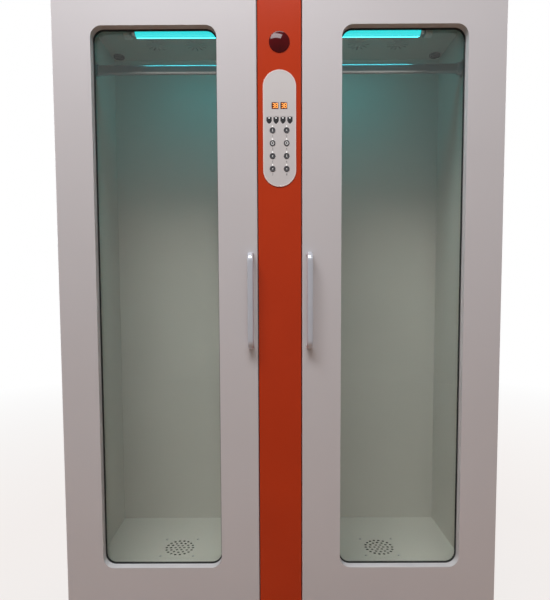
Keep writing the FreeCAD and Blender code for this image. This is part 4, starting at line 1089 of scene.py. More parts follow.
@dataclass
class TubularLamp:
    """The lit tube along the front of the ceiling, with its caps and pins.

    Attributes:
        tube: Outer diameter of the glass.
        cap: Length of a cap.
        pin: Diameter of a pin.
        pin_pitch: Distance between the two pins.
        pin_reach: Length of a pin.
        lap: How far a pin runs into its cap.
        shell: Thickness of a cap's end.
        sides: Sides of the glass and of the caps.
    """

    tube: float = 24.8 * MM
    cap: float = 14 * MM
    pin: float = 2.4 * MM
    pin_pitch: float = 12.7 * MM
    pin_reach: float = 7 * MM
    lap: float = 0.2 * MM
    shell: float = 1.4 * MM
    sides: int = 40

    def build(self) -> None:
        """Build the glass and both caps."""
        low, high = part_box("uv_lamp_tube")
        centre, length, radius = (low + high) / 2, high.x - low.x, self.tube / 2
        glass = turned([(0.0, 0.0), (radius, 0.0), (radius, length), (0.0, length)],
                       at((low.x, centre.y, centre.z), Axis.RIGHT), self.sides)
        piece("lit_tube", [glass], "cabinet", ["uv_lamp_tube"], TUBE)
        low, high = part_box("uv_lamp_caps")
        rim, bead, tip = (high.z - low.z) / 2, self.cap * 0.76, self.pin_reach + self.lap
        cup = [(0.0, 0.0), (rim * 0.82, 0.0), (rim * 0.95, 1.0 * MM), (rim, 2.4 * MM), (rim, self.cap * 0.7),
               (rim * 0.97, bead), (rim, self.cap * 0.82), (rim, self.cap), (radius, self.cap),
               (radius, self.shell), (0.0, self.shell)]
        pin = [(0.0, 0.0), (self.pin * 0.3, 0.0), (self.pin / 2, 0.6 * MM), (self.pin / 2, tip), (0.0, tip)]
        meshes = []
        for end, axis in ((low.x + self.pin_reach, Axis.RIGHT), (high.x - self.pin_reach, Axis.LEFT)):
            face = at((end, centre.y, centre.z), axis)
            meshes.append(turned(cup, face, self.sides))
            for side in (-1, 1):
                foot = face @ Matrix.Translation((0.0, side * self.pin_pitch / 2, -self.pin_reach))
                meshes.append(turned(pin, foot, 12))
        piece("tube_caps", meshes, "cabinet", ["uv_lamp_caps"], CAP)


@dataclass
class FanRotor:
    """One fan's rotor: a cupped hub and a ring of pitched, cambered blades that widen outwards.

    Attributes:
        side: "left" or "right".
        blades: How many blades.
        hub: Diameter of the hub.
        sweep: Width of a blade seen from above.
        rise: How far a blade climbs over its width.
        camber: How far it bows.
        thick: How much thicker its middle is than its edges.
        edge: Half its thickness at its edges.
        flatten: Share by which its pitch falls off from the hub to the tip.
        narrow: Share by which it is narrower at the hub than at the tip.
        bury: How far its root reaches into the hub.
        tip: Radius of the blades' tips.
        rings: Sections along a blade, less one.
        hub_top: Height of the hub's top over the housing's underside.
        hub_tall: Height of the hub.
        wall: Thickness of the hub's wall.
        shaft: Diameter of the shaft.
        round_over: Radius of the hub's upper edge.
        round_cut: How far the middle of that edge stands in.
    """

    side: str
    blades: int = 7
    hub: float = 62 * MM
    sweep: float = 18 * MM
    rise: float = 20 * MM
    camber: float = 3 * MM
    thick: float = 2 * MM
    edge: float = 0.15 * MM
    flatten: float = 0.25
    narrow: float = 0.1
    bury: float = 1.5 * MM
    tip: float = 54.3 * MM
    rings: int = 6
    hub_top: float = 34 * MM
    hub_tall: float = 28 * MM
    wall: float = 2 * MM
    shaft: float = 4 * MM
    round_over: float = 3 * MM
    round_cut: float = 0.8 * MM

    def blade(self) -> Mesh:
        """Build one blade along the local X axis, from inside the hub to the tip.

        Returns:
            The blade.
        """
        root = self.hub / 2 - self.bury
        rings = []
        for ring in range(self.rings + 1):
            share = ring / self.rings
            reach = root + share * (self.tip - root)
            pitch = math.atan2(self.rise * (1.0 - self.flatten * share), self.sweep)
            chord = math.hypot(self.rise, self.sweep) / 2 * (1.0 - self.narrow + self.narrow * share)
            upper, lower = [], []
            for step in (-1.0, -0.8, -0.4, 0.0, 0.4, 0.8, 1.0):
                bow = self.camber * (1 - step * step)
                half = self.thick / 2 * (1 - step * step) ** 0.5 + self.edge
                for row, sign in ((upper, 1), (lower, -1)):
                    along, over = step * chord, bow + sign * half
                    y = along * math.cos(pitch) - over * math.sin(pitch)
                    row.append(Vector((math.sqrt(max(reach * reach - y * y, 0.0)), y,
                                       along * math.sin(pitch) + over * math.cos(pitch))))
            rings.append(upper + lower[::-1])
        return tidy(skin(rings), angle=math.radians(60))

    def build(self) -> None:
        """Build the hub and instance the blades round it."""
        node, housing = f"fan_rotor_{self.side}", f"fan_housing_{self.side}"
        shaft_low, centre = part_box(node)[0].z, middle(housing)
        radius, stem = self.hub / 2, self.shaft / 2
        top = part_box(housing)[0].z + self.hub_top
        bottom, roof = top - self.hub_tall, top - self.wall
        cup = [(0.0, top), (radius - self.round_over, top), (radius - self.round_cut, top - self.round_cut),
               (radius, top - self.round_over), (radius, bottom), (radius - self.wall, bottom),
               (radius - self.wall, roof), (stem, roof), (stem, shaft_low), (0.0, shaft_low)]
        hub = dressed(turned(cup, at((centre.x, centre.y, 0.0)), 48), FAN)
        template = linked("blade", self.blade())
        tree, sockets = geometry_tree("RingOfBlades", ["Count Blades", "Seat"])
        shape = add_node(tree, "GeometryNodeObjectInfo", inputs={"Object": template})
        seats = spots(tree, sockets["Count Blades"], sockets["Seat"])
        ring = copies(tree, seats, shape.outputs["Geometry"], Rotation=outward(tree, "X"))
        close_tree(tree, ring, FAN)
        blades = grow(tree, {"Count Blades": self.blades, "Seat": 0.01 * MM})
        bpy.data.objects.remove(template)
        blades.transform(at((centre.x, centre.y, (bottom + top) / 2)))
        piece(f"{self.side}_rotor_blades", [hub, blades], f"{self.side}_rotor", [node])


# ---------------------------------------------------------------- controls


# The lit bars of the two figures that the displays show, as the letters of a seven-segment figure.
FIGURES = {"3": "abcdg", "8": "abcdefg"}
# An indicator lamp's outline, in halves of its width and height.
SHIELD = ((-1, 0.9), (-1, -0.2), (-0.55, -0.7), (0, -1), (0.55, -0.7), (1, -0.2), (1, 0.9), (0, 1))


@dataclass
class ControlPanel:
    """The pale plate on the fascia, with its displays, indicator lamps, keys and plain numbers.

    Attributes:
        edge: Radius of the plate's edges.
        rim: Width of the pale border round the plate.
        rim_rise: Thickness of the border.
        clearance: Gap between the plate and what shows through it.
        display: Width and height of a display.
        corner: Radius of the corners of a display's opening.
        recess: How far a display lies behind the plate's face.
        icon: Width and height of an indicator lamp.
        pip: Diameter of the glowing dot on an indicator lamp, a painted highlight.
        pip_rise: Distance from the lamp's middle up to its dot.
        key: Diameter of a key's cap.
        key_round: Radius of a key's rim.
        dish: Depth of the hollow in a key's face.
        collar: Thickness of the collar that keeps a key in.
        stem: Diameter of a key's stem.
        ink: Thickness of the print on a key.
        digit: Width and height of a figure on a display.
        stroke: Width of a figure's bars.
        figure_depth: How far behind the plate's face a figure's back lies.
        figure_rise: Thickness of a figure.
        led: Diameter of the light dot over a key.
        led_rise: Distance from a key's centre up to its dot.
        label: Height of the number under a key.
        label_drop: Distance from a key's centre down to its number.
        label_rise: Half the thickness of a number.
    """

    edge: float = 0.5 * MM
    # rim: Width of the border round the plate, paler as a painted highlight.
    rim: float = 2.6 * MM
    rim_rise: float = 0.4 * MM
    clearance: float = 0.2 * MM
    display: float = 18 * MM
    corner: float = 0.8 * MM
    recess: float = 0.2 * MM
    icon: tuple[float, float] = (14 * MM, 19 * MM)
    pip: float = 3.2 * MM
    pip_rise: float = 5.8 * MM
    key: float = 15 * MM
    key_round: float = 1 * MM
    dish: float = 0.5 * MM
    collar: float = 1.5 * MM
    stem: float = 4 * MM
    ink: float = 0.05 * MM
    digit: tuple[float, float] = (6.2 * MM, 12.5 * MM)
    stroke: float = 1.3 * MM
    figure_depth: float = 0.15 * MM
    figure_rise: float = 0.12 * MM
    led: float = 3.6 * MM
    led_rise: float = 10.2 * MM
    label: float = 5.6 * MM
    label_drop: float = 15.2 * MM
    label_rise: float = 0.03 * MM

    def shield(self, grow_by: float = 0.0) -> Loop:
        """Outline an indicator lamp: square shoulders that taper to a point below.

        Args:
            grow_by: How far the outline is moved outwards.

        Returns:
            Its points, round its middle.
        """
        wide, tall = self.icon[0] / 2 + grow_by, self.icon[1] / 2 + grow_by
        return [(x * wide, y * tall) for x, y in SHIELD]

    def places(self) -> tuple[list[Point], list[Point], list[Vector]]:
        """Read from the solids where everything on the plate is.

        Returns:
            The centres of the displays and of the indicator lamps, and the middles of the keys.
        """
        low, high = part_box("display_modules")
        row = (low.z + high.z) / 2
        displays = [(low.x + self.display / 2, row), (high.x - self.display / 2, row)]
        low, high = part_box("indicator_lamps")
        row = (low.z + high.z) / 2
        pitch = (high.x - low.x - self.icon[0]) / 3
        icons = [(low.x + self.icon[0] / 2 + step * pitch, row) for step in range(4)]
        return displays, icons, [middle(f"key_{index}") for index in range(1, 9)]

    def build(self) -> None:
        """Build the plate and everything on it."""
        low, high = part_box("control_plate")
        front, back = low.y, high.y
        displays, icons, keys = self.places()
        width, height, centre_z = high.x - low.x, high.z - low.z, (low.z + high.z) / 2
        loops = [rounded_box(width, height, width / 2 - END_GAP, 20)]
        loops += [rounded_box(self.display, self.display, self.corner, 2, (x, z - centre_z))
                  for x, z in displays]
        loops += [[(x + dx, z - centre_z + dz) for dx, dz in self.shield()] for x, z in icons]
        loops += [circle(self.key / 2 + self.clearance, 32, (key.x, key.z - centre_z)) for key in keys]
        plate = cut_sheet(loops, back - front, at((0.0, back, centre_z), Axis.FORWARD), self.edge)
        piece("control_face", [plate], "cabinet", ["control_plate"], OVERLAY)
        # The border is a paler sheet of the overlay: a painted highlight along the plate's edge.
        outer, straight = width / 2 - self.edge, height - width
        rim = [rounded_box(2 * radius, straight + 2 * radius, radius - END_GAP, 20)
               for radius in (outer, outer - self.rim)]
        place = at((0.0, front + self.rim_rise * 0.4, centre_z), Axis.FORWARD)
        highlight_border = cut_sheet(rim, self.rim_rise, place, self.rim_rise * 0.3)
        piece("control_face_rim", [highlight_border], "cabinet", finish=OVERLAY_PAINTED_HIGHLIGHT)
        self.build_displays(displays, front)
        self.build_icons(icons, front)
        self.build_prints(keys, front)
        for index, key in enumerate(keys, start=1):
            self.build_key(index, key)

    def build_displays(self, displays: Sequence[Point], front: float) -> None:
        """Build both display blocks and the figures that they show.

        Args:
            displays: The centres of the displays in X and Z.
            front: Where the plate's face is.
        """
        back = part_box("display_modules")[1].y
        side = self.display - 2 * self.clearance
        block = rounded_box(side, side, self.corner - 0.1 * MM, 3)
        blocks = [raised(block, back - front - self.recess, at((x, back, z), Axis.FORWARD), 0.3 * MM)
                  for x, z in displays]
        piece("display_windows", blocks, "cabinet", ["display_modules"], DISPLAY_WINDOW)
        pitch = self.display * 0.45
        figures = [mesh for x, z in displays for side, figure in ((-1, "3"), (1, "8"))
                   for mesh in self.figure(figure, (x + side * pitch / 2, front + self.figure_depth, z))]
        piece("display_figures", figures, "cabinet", finish=DISPLAY_SEGMENT)

    def figure(self, figure: str, spot: Sequence[float]) -> list[Mesh]:
        """Build the lit bars of one seven-segment figure.

        Args:
            figure: The figure, one of those in FIGURES.
            spot: Where its middle goes.

        Returns:
            A mesh for each bar.
        """
        wide, tall = (self.digit[0] - self.stroke) / 2, (self.digit[1] - self.stroke) / 2
        bars = {"a": (0, tall, 0), "g": (0, 0, 0), "d": (0, -tall, 0), "f": (-wide, tall / 2, 1),
                "b": (wide, tall / 2, 1), "e": (-wide, -tall / 2, 1), "c": (wide, -tall / 2, 1)}
        meshes = []
        for name in FIGURES[figure]:
            x, z, upright = bars[name]
            length = (tall if upright else 2 * wide) - 0.3 * MM
            half, point = self.stroke / 2, length / 2
            loop = [(-point, 0), (-point + half, -half), (point - half, -half), (point, 0),
                    (point - half, half), (-point + half, half)]
            if upright:
                loop = [(-up, across) for across, up in loop]
            meshes.append(raised([(x + across, z + up) for across, up in loop], self.figure_rise,
                                 at(spot, Axis.FORWARD)))
        return meshes

    def build_icons(self, icons: Sequence[Point], front: float) -> None:
        """Build the four unlit indicator lamps, each a softly crowned shield, with a glowing dot on each as
        a painted highlight.

        Args:
            icons: The centres of the lamps in X and Z.
            front: Where the plate's face is.
        """
        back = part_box("indicator_lamps")[1].y
        shield = self.shield(-self.clearance)
        lamps = [raised(shield, back - front, at((x, back, z), Axis.FORWARD), 0.7 * MM) for x, z in icons]
        piece("indicator_shields", lamps, "cabinet", ["indicator_lamps"], LAMP_ICON)
        # Each dot glows though its lamp is unlit: a painted highlight.
        dot = [(0.0, 0.0), (self.pip / 2, 0.0), (self.pip * 0.4, 0.3 * MM), (0.0, 0.4 * MM)]
        dots = [turned(dot, at((x, front, z + self.pip_rise), Axis.FORWARD), 16) for x, z in icons]
        piece("indicator_lights", dots, "cabinet", finish=LED_AND_PAINTED_HIGHLIGHT)

    def build_prints(self, keys: Sequence[Vector], front: float) -> None:
        """Build the light dot over each key and the plain number under it.

        Args:
            keys: The middles of the keys.
            front: Where the plate's face is.
        """
        dot = [(0.0, 0.0), (self.led / 2, 0.0), (self.led / 2, 0.2 * MM), (self.led * 0.36, 0.55 * MM),
               (0.0, 0.7 * MM)]
        dots = [turned(dot, at((key.x, front, key.z + self.led_rise), Axis.FORWARD), 16) for key in keys]
        piece("key_lights", dots, "cabinet", finish=LED_AND_PAINTED_HIGHLIGHT)
        numbers = []
        for index, key in enumerate(keys, start=1):
            text = bpy.data.curves.new("number", "FONT")
            text.body = str(index)
            text.size = self.label * 1.4
            text.align_x = "CENTER"
            text.align_y = "CENTER"
            text.extrude = self.label_rise
            place = at((key.x, front - self.label_rise, key.z - self.label_drop), Axis.FORWARD)
            numbers.append(tidy(meshed(text), place))
        piece("key_numbers", numbers, "cabinet", finish=PRINT_GREY)

    def build_key(self, index: int, key: Vector) -> None:
        """Build one dished key with its collar and stem, and the white mark on its cap.

        Args:
            index: The key's number.
            key: The middle of its solid.
        """
        low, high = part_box(f"key_{index}")
        cap, collar, stem = self.key / 2, (high.x - low.x) / 2, self.stem / 2
        tall, seat = high.y - low.y, high.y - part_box("control_plate")[1].y
        bow = [(cap - self.key_round * (1 - math.cos(turn)), tall - self.key_round * (1 - math.sin(turn)))
               for turn in (math.pi / 8 * step for step in range(5))]
        dish = [(cap * share, tall - self.dish * (1 - share * share)) for share in (0.8, 0.6, 0.4, 0.2, 0.0)]
        profile = [(0.0, 0.0), (stem, 0.0), (stem, seat - self.collar), (collar, seat - self.collar),
                   (collar, seat), (cap, seat), *bow, *dish]
        body = dressed(turned(profile, at((key.x, high.y, key.z), Axis.FORWARD), 40), KEY)
        mark = dressed(self.mark(index, at((key.x, low.y + self.dish, key.z), Axis.FORWARD)), PRINT_WHITE)
        piece(f"key_{index}_cap", [body, mark], f"key_{index}", [f"key_{index}"])

    def mark(self, index: int, face: Matrix) -> Mesh:
        """Build the plain mark printed in the hollow of a key's face.

        Args:
            index: The key's number.
            face: The lowest place of its face.

        Returns:
            A ring for keys 3 and 4, a bar for 1 and 6, and a dot for the others.
        """
        cap = self.key / 2
        if index in (3, 4):
            outer, inner = cap * 0.58, cap * 0.34
            lift = self.dish * 0.34
            return turned([(inner, lift * 0.5), (outer, lift), (outer, lift + self.ink),
                           (inner, lift * 0.5 + self.ink)], face, 32, looped=True)
        if index in (1, 6):
            return raised(rounded_box(cap * 0.22, cap * 0.9, cap * 0.1, 3), 0.12 * MM + self.ink, face)
        rise = 0.05 * MM + self.ink
        return turned([(0.0, 0.0), (cap * 0.2, 0.0), (cap * 0.2, rise), (0.0, rise)], face, 16)


@dataclass
class StatusLens:
    """The round dark-red lens above the controls: a rim, a polished dome and the spigot behind.

    Attributes:
        rim: Height of the rim.
        dome: Height of the dome over the rim.
        spigot: Diameter of the spigot through the fascia.
        ledge: Width of the rim's face round the dome.
        bevel: Width of the rim's bevel.
        steps: Rings along the dome.
        solid_sides: Sides of the solid that it stands for, inside whose flats it stays.
    """

    rim: float = 2 * MM
    dome: float = 5 * MM
    spigot: float = 24 * MM
    ledge: float = 1.2 * MM
    bevel: float = 0.5 * MM
    steps: int = 14
    solid_sides: int = 24

    def build(self) -> None:
        """Build the lens."""
        low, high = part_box("status_lens")
        centre = (low + high) / 2
        radius, tall = (high.x - low.x) / 2 * math.cos(math.pi / self.solid_sides), high.y - low.y
        seat = tall - self.rim - self.dome
        cap = radius - self.ledge
        bulge = (cap * cap + self.dome * self.dome) / (2 * self.dome)
        dome = []
        for step in range(self.steps + 1):
            turn = math.asin(cap / bulge) * (1 - step / self.steps)
            dome.append((bulge * math.sin(turn), tall - bulge * (1 - math.cos(turn))))
        profile = [(0.0, 0.0), (self.spigot / 2, 0.0), (self.spigot / 2, seat), (radius, seat),
                   (radius, seat + self.rim * 0.7), (radius - self.bevel, seat + self.rim), *dome]
        lens = turned(profile, at((centre.x, high.y, centre.z), Axis.FORWARD), 64)
        piece("lens_dome", [lens], "cabinet", ["status_lens"], LENS)


# ---------------------------------------------------------------- doors, feet and fasteners


@dataclass
class BowHandle:
    """One door's bow handle: a flattened bar, bent twice, with a rounded face.

    Attributes:
        side: "left" or "right".
        thick: Thickness of the bar, front to back.
        corner: Radius of the section's corners, as a share of that thickness.
        crown: How far the front of the section falls off to its sides.
        bend: Radius of the bends along the bar's middle.
        steps: Rings along each bend.
    """

    side: str
    thick: float = 11 * MM
    corner: float = 0.36
    crown: float = 0.9 * MM
    bend: float = 20 * MM
    steps: int = 12

    def section(self, width: float) -> Loop:
        """Outline the bar's section: flat behind, crowned in front.

        Args:
            width: Its width.

        Returns:
            Its points, across and outwards.
        """
        flat = rounded_box(width, self.thick, self.thick * self.corner, 5)
        return [(x, y - (self.crown * 4 * x * x / (width * width) if y > 0 else 0.0)) for x, y in flat]

    def build(self) -> None:
        """Build the bar along its path."""
        node = f"{self.side}_door_handle"
        low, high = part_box(node)
        x, width = (low.x + high.x) / 2, high.x - low.x
        front = low.y + self.thick / 2
        top, bottom = high.z - self.thick / 2, low.z + self.thick / 2
        turns = [math.pi / 2 * step / self.steps for step in range(self.steps + 1)]
        bends = [(front + self.bend * (1 - math.sin(turn)), self.bend * (1 - math.cos(turn)), turn)
                 for turn in turns]
        path = [(high.y, top, 0.0), *((y, top - drop, turn) for y, drop, turn in bends),
                *((y, bottom + drop, math.pi - turn) for y, drop, turn in reversed(bends)),
                (high.y, bottom, math.pi)]
        rings = []
        for y, z, turn in path:
            out = Vector((0.0, -math.sin(turn), math.cos(turn)))
            rings.append([Vector((x + across, y, z)) + out * over for across, over in self.section(width)])
        bar = tidy(skin(rings), angle=math.radians(50))
        piece(f"{self.side}_bow_handle", [bar], f"{self.side}_door", [node], HANDLE)


@dataclass
class LevellingFoot:
    """The four levelling feet: a rubber pad, a threaded zinc stem and its lock nut.

    Attributes:
        pad: Diameter of the pad.
        pad_rise: Height of the pad.
        stem: Diameter over the thread.
        pitch: Pitch of the thread.
        nut: Width of the nut across its flats.
        nut_rise: Height of the nut.
        bevel: Width of the bevel at the stem's end, and half that at the pad's lower edge.
        solid_sides: Sides of the pad's solid, whose flats set the box of the feet.
    """

    pad: float = 50 * MM
    pad_rise: float = 12 * MM
    stem: float = 10 * MM
    pitch: float = 1.5 * MM
    nut: float = 17 * MM
    nut_rise: float = 8 * MM
    bevel: float = 1 * MM
    solid_sides: int = 16

    def thread(self, length: float) -> Mesh:
        """Build the helical ridge along the stem.

        Args:
            length: Its length, from local Z = 0 up.

        Returns:
            The ridge.
        """
        tree, sockets = geometry_tree("Thread", ["Rotations", "Radius", "Length", "Ridge"])
        helix = add_node(tree, "GeometryNodeCurveSpiral", inputs={
            "Resolution": 16, "Rotations": sockets["Rotations"], "Start Radius": sockets["Radius"],
            "End Radius": sockets["Radius"], "Height": sockets["Length"]})
        coil = add_node(tree, "GeometryNodeCurveToMesh", inputs={
            "Curve": helix.outputs["Curve"], "Profile Curve": hoop(tree, 4, sockets["Ridge"]),
            "Fill Caps": True})
        close_tree(tree, coil.outputs["Mesh"], ZINC)
        ridge_size = self.pitch * 0.42
        return grow(tree, {"Rotations": length / self.pitch, "Radius": self.stem / 2 - ridge_size,
                           "Length": length, "Ridge": ridge_size})

    def build(self) -> None:
        """Build all four feet."""
        low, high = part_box("levelling_feet")
        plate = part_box("base_tray")[0].z
        radius, half = self.pad / 2, self.pad_rise * 0.5
        reach = radius / math.cos(math.pi / self.solid_sides)
        pad = [(0.0, 0.0), (radius - 2 * self.bevel, 0.0), (radius, 2 * self.bevel), (radius, half)]
        pad += [(radius - half * (1 - math.cos(turn)), half * (1 + math.sin(turn)))
                for turn in (math.pi / 8 * step for step in range(1, 5))]
        pad += [(radius * 0.4, self.pad_rise), (0.0, self.pad_rise)]
        core, length = self.stem / 2 - self.pitch * 0.5, high.z - self.pad_rise
        stem = [(0.0, 0.0), (core, 0.0), (core, length - self.bevel), (core - self.bevel, length),
                (0.0, length)]
        nut = circle(self.nut / 2 / math.cos(math.pi / 6), 6)
        meshes = []
        for x in (low.x + reach, high.x - reach):
            for y in (low.y + reach, high.y - reach):
                meshes.append(dressed(turned(pad, at((x, y, 0.0)), 40), FOOT))
                meshes.append(dressed(turned(stem, at((x, y, self.pad_rise)), 24), ZINC))
                thread = self.thread(length - 2 * self.bevel)
                thread.transform(at((x, y, self.pad_rise + 0.5 * self.bevel)))
                meshes.append(thread)
                seat = at((x, y, plate - self.nut_rise))
                meshes.append(dressed(raised(nut, self.nut_rise, seat, 0.7 * MM), ZINC))
        piece("levelling_feet_turned", meshes, "cabinet", ["levelling_feet"])


@dataclass
class PanelScrews:
    """The small screws of the rear panel, the hinge brackets and the rail's sockets.

    Those of the rear panel are sunk into dimples.

    Attributes:
        head: Diameter of a sunk head.
        dimple: Diameter of its dimple at the surface.
        shank: Diameter of its shank.
        sheet: Thickness of the rear panel.
        columns: Screws along the rear panel's upper and lower edges.
        rows: Screws down each of its sides.
        margin: Distance from the panel's edges.
        ear: Distance of a socket's screws from its ends.
        plate: Thickness of a hinge bracket.
        leg: Height of a bracket's leg below its plate.
        leg_middle: Distance of the leg's middle from the bracket's outer end.
        leg_face: Where the leg's face lies from front to back.
        flange: Thickness of a rail socket's flange.
        gap: Gap round a shank in its hole.
    """

    head: float = 7 * MM
    dimple: float = 8 * MM
    shank: float = 3.5 * MM
    sheet: float = 1.2 * MM
    columns: int = 5
    rows: int = 4
    margin: float = 12 * MM
    ear: float = 3.2 * MM
    plate: float = 3 * MM
    leg: float = 32 * MM
    leg_middle: float = 40.5 * MM
    leg_face: float = -192.5 * MM
    flange: float = 2.5 * MM
    gap: float = 0.2 * MM

    def build(self) -> None:
        """Build each group where its panel is."""
        self.build_rear()
        self.build_hinges()
        self.build_sockets()

    def build_rear(self) -> None:
        """Build the rear panel with its dimples, and the screws in them."""
        low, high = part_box("rear_panel")
        left, right = low.x + self.margin, high.x - self.margin
        bottom, top = low.z + self.margin, high.z - self.margin
        seats = [Vector((left + (right - left) * step / (self.columns - 1), high.y, z))
                 for step in range(self.columns) for z in (bottom, top)]
        seats += [Vector((x, high.y, bottom + (top - bottom) * step / (self.rows + 1)))
                  for step in range(1, self.rows + 1) for x in (left, right)]
        outer, inner, depth = self.dimple / 2, self.shank / 2 + self.gap, self.sheet
        cone = [(0.0, -2 * depth), (inner, -2 * depth), (inner, -depth), (outer, 0.0), (outer, depth),
                (0.0, depth)]
        cutter = joined([turned(cone, at(seat, Axis.BACK), 24) for seat in seats])
        panel = carved(tidy(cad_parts["rear_panel"].data.copy()), cutter)
        panel.set_sharp_from_angle(angle=FLAT_ANGLE)
        piece("rear_panel_dimpled", [panel], "cabinet", ["rear_panel"], CASING)
        sunk = ScrewSet(form=Head.SUNK, head=self.head, rise=depth, shank=self.shank, reach=7 * MM,
                        recess=0.9 * MM)
        inset = Vector((0.0, -depth - 0.1 * MM, 0.0))
        screws = sunk.set_in([seat + inset for seat in seats], Axis.BACK, ZINC)
        piece("rear_panel_screws", [screws], "cabinet")

    def build_hinges(self) -> None:
        """Build the two screws of each hinge bracket's leg."""
        rounded = ScrewSet(head=7 * MM, rise=1.8 * MM, reach=3 * MM)
        seats = []
        for node, lift in (("upper_hinges", 0.0), ("lower_hinges", self.plate)):
            low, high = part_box(node)
            x, foot = high.x - self.leg_middle, low.z + lift
            seats += [Vector((side * x, self.leg_face, foot + self.leg * share))
                      for side in (-1, 1) for share in (0.25, 0.75)]
        piece("hinge_screws", [rounded.set_in(seats, Axis.FORWARD, ZINC)], "cabinet")

    def build_sockets(self) -> None:
        """Build the two screws of each of the rail's sockets."""
        low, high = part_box("rail_supports")
        y, ends = (low.y + high.y) / 2, (low.z + self.ear, high.z - self.ear)
        small = ScrewSet(head=4.2 * MM, rise=1.2 * MM, shank=2.6 * MM, reach=2 * MM, recess=0.7 * MM)
        meshes = [small.set_in([Vector((x, y, z)) for z in ends], axis, ZINC)
                  for x, axis in ((low.x + self.flange, Axis.RIGHT), (high.x - self.flange, Axis.LEFT))]
        piece("rail_socket_screws", meshes, "cabinet")


# ---------------------------------------------------------------- the studio


@dataclass(frozen=True)
class SoftLamp:
    """A soft rectangular lamp.

    Attributes:
        name: Its name.
        place: Where it stands.
        aim: The point that it faces.
        size: Its width and height.
        power: Its power in watts.
        colour: Its colour, sRGB hex.
    """

    name: str
    place: Sequence[float]
    aim: Sequence[float]
    size: Point
    power: float
    colour: str

    def build(self) -> None:
        """Set up the lamp, which lights the scene but isn't seen itself."""
        light = bpy.data.lights.new(self.name, "AREA")
        light.shape = "RECTANGLE"
        light.size, light.size_y = self.size
        light.energy = self.power
        light.color = linear(self.colour)[:3]
        holder = linked(self.name, light)
        way = Vector(self.aim) - Vector(self.place)
        turn = way.to_track_quat("-Z", "Y").to_matrix().to_4x4()
        holder.matrix_world = Matrix.Translation(Vector(self.place)) @ turn
        holder.visible_camera = False


# A broad lamp over the viewer, one behind the cabinet and one on each side of it.
LAMPS = (
    SoftLamp("key_light", (-0.6, -1.9, 3.7), (0.0, -0.2, 1.2), (2.2, 1.0), 90.0, "#FBFBFF"),
    SoftLamp("back_light", (1.2, 3.0, 2.6), (0.0, 0.2, 0.9), (2.4, 1.6), 80.0, "#FFFDFA"),
    SoftLamp("side_light_left", (-3.2, 0.5, 2.2), (-0.6, 0.1, 0.9), (1.6, 1.6), 48.0, "#FCFCFF"),
    SoftLamp("side_light_right", (3.2, 0.5, 2.2), (0.6, 0.1, 0.9), (1.6, 1.6), 48.0, "#FCFCFF"),
)


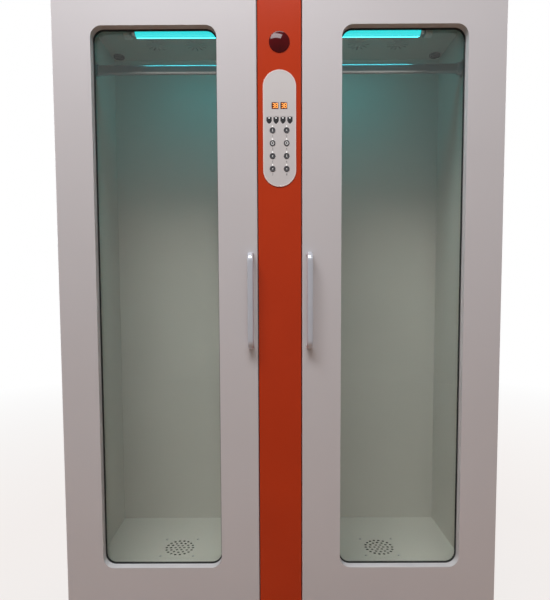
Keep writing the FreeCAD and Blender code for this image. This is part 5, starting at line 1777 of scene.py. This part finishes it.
@dataclass
class Studio:
    """The pale floor, the soft light and the camera of the reference view.

    Attributes:
        eye: Where the camera stands.
        pitch: How far it looks down.
        yaw: How far it looks to the right.
        roll: How far it leans.
        frame_width: Width of the picture in pixels.
        frame_height: Height of the picture in pixels.
        focus: Focal length in pixels.
        centre: The lens's axis in the picture, in pixels.
        sensor: Height of the sensor in millimetres.
        surround: How bright the surround is as a light.
        horizon: Between these, the Y of a direction, the dim front of the surround turns into its back.
        floor: Distance from the middle of the floor to its sides.
    """

    eye: tuple[float, float, float] = (-0.0272, -1.5743, 1.0225)
    pitch: float = math.radians(3.514)
    yaw: float = math.radians(-0.130)
    roll: float = math.radians(-0.254)
    frame_width: float = 550.0
    frame_height: float = 600.0
    focus: float = 496.0
    centre: Point = (269.0, 319.1)
    sensor: float = 36.0
    surround: float = 0.35
    horizon: Point = (-0.2, 0.3)
    floor: float = 7.0

    def camera(self) -> None:
        """Set up the camera."""
        camera = bpy.data.cameras.new("camera")
        camera.sensor_fit = "VERTICAL"
        camera.sensor_height = self.sensor
        camera.sensor_width = self.sensor
        camera.lens = self.sensor * self.focus / self.frame_height
        camera.shift_x = (self.frame_width / 2 - self.centre[0]) / self.frame_height
        camera.shift_y = (self.centre[1] - self.frame_height / 2) / self.frame_height
        camera.clip_start = 0.05
        holder = linked("camera", camera)
        holder.matrix_world = (Matrix.Translation(self.eye) @ Matrix.Rotation(-self.yaw, 4, "Z")
                               @ Matrix.Rotation(math.pi / 2 - self.pitch, 4, "X")
                               @ Matrix.Rotation(self.roll, 4, "Z"))
        bpy.context.scene.camera = holder

    def world(self) -> None:
        """Set up a pale surround, white where it is looked at and dim in front where gloss sees it."""
        world = bpy.data.worlds.new("surround")
        bpy.context.scene.world = world
        world.use_nodes = True
        tree = world.node_tree
        tree.nodes.clear()
        way = add_node(tree, "ShaderNodeSeparateXYZ", inputs={
            "Vector": add_node(tree, "ShaderNodeTexCoord").outputs["Generated"]})
        depth = add_node(tree, "ShaderNodeMapRange", inputs={
            "Value": way.outputs["Y"], "From Min": self.horizon[0], "From Max": self.horizon[1],
            "To Min": FRONT_LEVEL, "To Max": 1.0})
        surround = add_node(tree, "ShaderNodeBackground", inputs={
            "Color": linear("#F2F4F6"), "Strength": self.surround}).outputs["Background"]
        looks = (("Is Glossy Ray", depth.outputs["Result"]), ("Is Camera Ray", 1.0),
                 ("Is Transmission Ray", 1.0))
        for ray, strength in looks:
            white = add_node(tree, "ShaderNodeBackground", inputs={
                "Color": linear("#FFFFFF"), "Strength": strength})
            surround = add_node(tree, "ShaderNodeMixShader", inputs={
                0: seen_by(tree, ray), 1: surround, 2: white.outputs["Background"]}).outputs["Shader"]
        add_node(tree, "ShaderNodeOutputWorld", inputs={"Surface": surround})

    def build(self) -> None:
        """Set up the whole studio."""
        mesh = bpy.data.meshes.new("floor")
        corners = ((-1, -1), (1, -1), (1, 1), (-1, 1))
        mesh.from_pydata([(x * self.floor, y * self.floor, 0) for x, y in corners], [], [(0, 1, 2, 3)])
        floor = linked("floor", dressed(mesh, STUDIO_FLOOR))
        self.camera()
        self.world()
        tube = middle("uv_lamp_tube")
        glow = SoftLamp("tube_glow", tube - Vector((0.0, 0.0, 16 * MM)), tube - Vector((0.0, -0.4, 1.0)),
                        (0.86, 0.02), 0.7, "#35CFE0")
        for lamp in (*LAMPS, glow):
            lamp.build()


# ---------------------------------------------------------------- the whole


class SubAssembly(Protocol):
    """A part of the cabinet that builds its own pieces."""

    def build(self) -> None:
        """Build its pieces."""


def dress_solids() -> None:
    """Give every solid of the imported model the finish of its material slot."""
    for name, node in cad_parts.items():
        finish = SLOT_FINISH[node.data.materials[0].name]
        node.material_slots[0].link = "OBJECT"
        node.material_slots[0].material = finish.material()
        log.info("%s: %s", name, finish.name)


def main() -> None:
    """Build every part of the cabinet in order, and the studio round it."""
    logging.basicConfig(level=logging.INFO, format="%(message)s")
    bpy.context.scene.view_settings.view_transform = "Standard"
    dress_solids()
    parts: list[SubAssembly] = [
        DrilledFloor(), SlottedCeiling(), OzonePorts(), TubularLamp(), FanRotor("left"), FanRotor("right"),
        ControlPanel(), StatusLens(), BowHandle("left"), BowHandle("right"), LevellingFoot(), PanelScrews()]
    for part in parts:
        part.build()
        log.info("built: %s", type(part).__name__)
    Studio().build()


if __name__ == "__main__":
    main()
